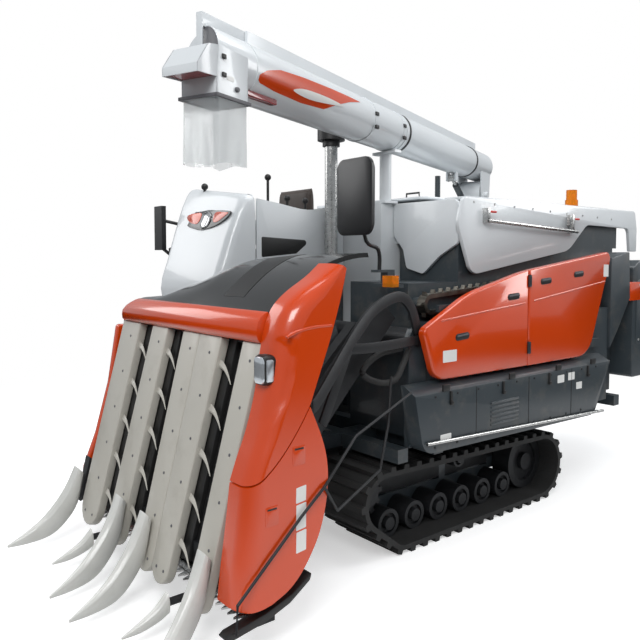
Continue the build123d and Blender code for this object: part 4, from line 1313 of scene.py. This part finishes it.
def build_stage():
    """Pale floor that keeps the shadow and turns white away from the machine."""
    mesh = bpy.data.meshes.new("floor")
    s = FLOOR_HALF
    mesh.from_pydata([(-s, -s, 0), (s, -s, 0), (s, s, 0), (-s, s, 0)], [], [(0, 1, 2, 3)])
    floor = bpy.data.objects.new("floor", mesh)
    bpy.context.collection.objects.link(floor)
    m = Mat("floor_white")
    fill(m.shader, Roughness=0.8, Emission_Color=(1, 1, 1, 1), Specular_IOR_Level=0.0)
    away = m.node("VectorMath", operation="LENGTH")
    m.link(m.coords(), away.inputs[0])
    far = m.node("MapRange", interpolation_type="SMOOTHSTEP")
    fill(far, From_Min=FADE_FROM, From_Max=FADE_TO)
    m.link(away.outputs["Value"], far.inputs["Value"])
    base = m.ramp(far.outputs["Result"], (0.0, (0.85, 0.85, 0.85)), (1.0, (0.0, 0.0, 0.0)))
    m.feed("Base Color", base)
    glow = m.node("MapRange")
    fill(glow, To_Min=0.45, To_Max=1.0)
    m.link(far.outputs["Result"], glow.inputs["Value"])
    path = m.node("LightPath")
    scale = m.node("Math", operation="MULTIPLY")
    m.link(path.outputs["Is Camera Ray"], scale.inputs[0])
    m.link(glow.outputs["Result"], scale.inputs[1])
    m.feed("Emission Strength", scale.outputs[0])
    mesh.materials.append(m.mat)


def area_light(name, spot, target, side, power):
    data = bpy.data.lights.new(name, "AREA")
    data.shape = "RECTANGLE"
    data.size, data.size_y = side, side
    data.energy = power
    obj = bpy.data.objects.new(name, data)
    obj.location = spot
    obj.rotation_euler = (Vector(target) - Vector(spot)).to_track_quat("-Z", "Y").to_euler()
    bpy.context.collection.objects.link(obj)


def build_light():
    """Four soft lamps, and a world that the camera sees as white."""
    world = bpy.data.worlds.new("world")
    bpy.context.scene.world = world
    world.use_nodes = True
    tree = world.node_tree
    back = tree.nodes["Background"]
    fill(back, Color=(0.92, 0.96, 1.0, 1), Strength=0.45)
    white = tree.nodes.new("ShaderNodeBackground")
    fill(white, Color=(1, 1, 1, 1))
    path = tree.nodes.new("ShaderNodeLightPath")
    mix = tree.nodes.new("ShaderNodeMixShader")
    tree.links.new(path.outputs["Is Camera Ray"], mix.inputs[0])
    tree.links.new(back.outputs[0], mix.inputs[1])
    tree.links.new(white.outputs[0], mix.inputs[2])
    tree.links.new(mix.outputs[0], tree.nodes["World Output"].inputs[0])
    area_light("key", (4.5, -5.5, 6.0), (0, -0.5, 1.0), 3.0, 300)
    area_light("fill", (-5.0, -4.0, 4.5), (0, 0, 1.2), 3.5, 110)
    area_light("top", (0.5, 0.5, 6.5), (0, 0, 1.0), 4.0, 175)
    area_light("rim", (4.0, 5.5, 4.5), (0, 0.5, 1.2), 3.0, 160)


def build_camera():
    """Camera that was fitted to the photograph."""
    data = bpy.data.cameras.new("camera")
    data.sensor_fit = "HORIZONTAL"
    data.sensor_width = SENSOR
    data.lens = FOCAL_PX / PHOTO_PX * SENSOR
    data.shift_x = (PHOTO_PX / 2 - CENTRE_PX[0]) / PHOTO_PX
    data.shift_y = (CENTRE_PX[1] - PHOTO_PX / 2) / PHOTO_PX
    cam = bpy.data.objects.new("camera", data)
    yaw, pitch = math.radians(CAM_YAW), math.radians(CAM_PITCH)
    level = math.cos(pitch)
    forward = Vector((-math.sin(yaw) * level, math.cos(yaw) * level, -math.sin(pitch)))
    cam.location = CAM_POS
    cam.rotation_euler = forward.to_track_quat("-Z", "Y").to_euler()
    bpy.context.collection.objects.link(cam)
    bpy.context.scene.camera = cam


HEADER = (left_cover, cover_details, lamp, band, hood, front_plates, lifter_cases, tines, horns)
UPPER = (console, tower_lamp, spout, tube_end, spout_fittings, curtain, swoosh, auger_bands)
SIDE = (side_covers, lower_box, drum_skin, tank_front, rear_pieces, guard_rods, hydraulic_loop,
        mirrors, seat, track_guards, box_bolts, box_vents)
REST = (straw_cutter, right_cover, tank_details, engine_details, grab_rail)
for build in HEADER + UPPER + SIDE + REST + (build_stage, build_light, build_camera):
    build()
view = bpy.context.scene.view_settings
view.view_transform = "Standard"
view.look = "None"
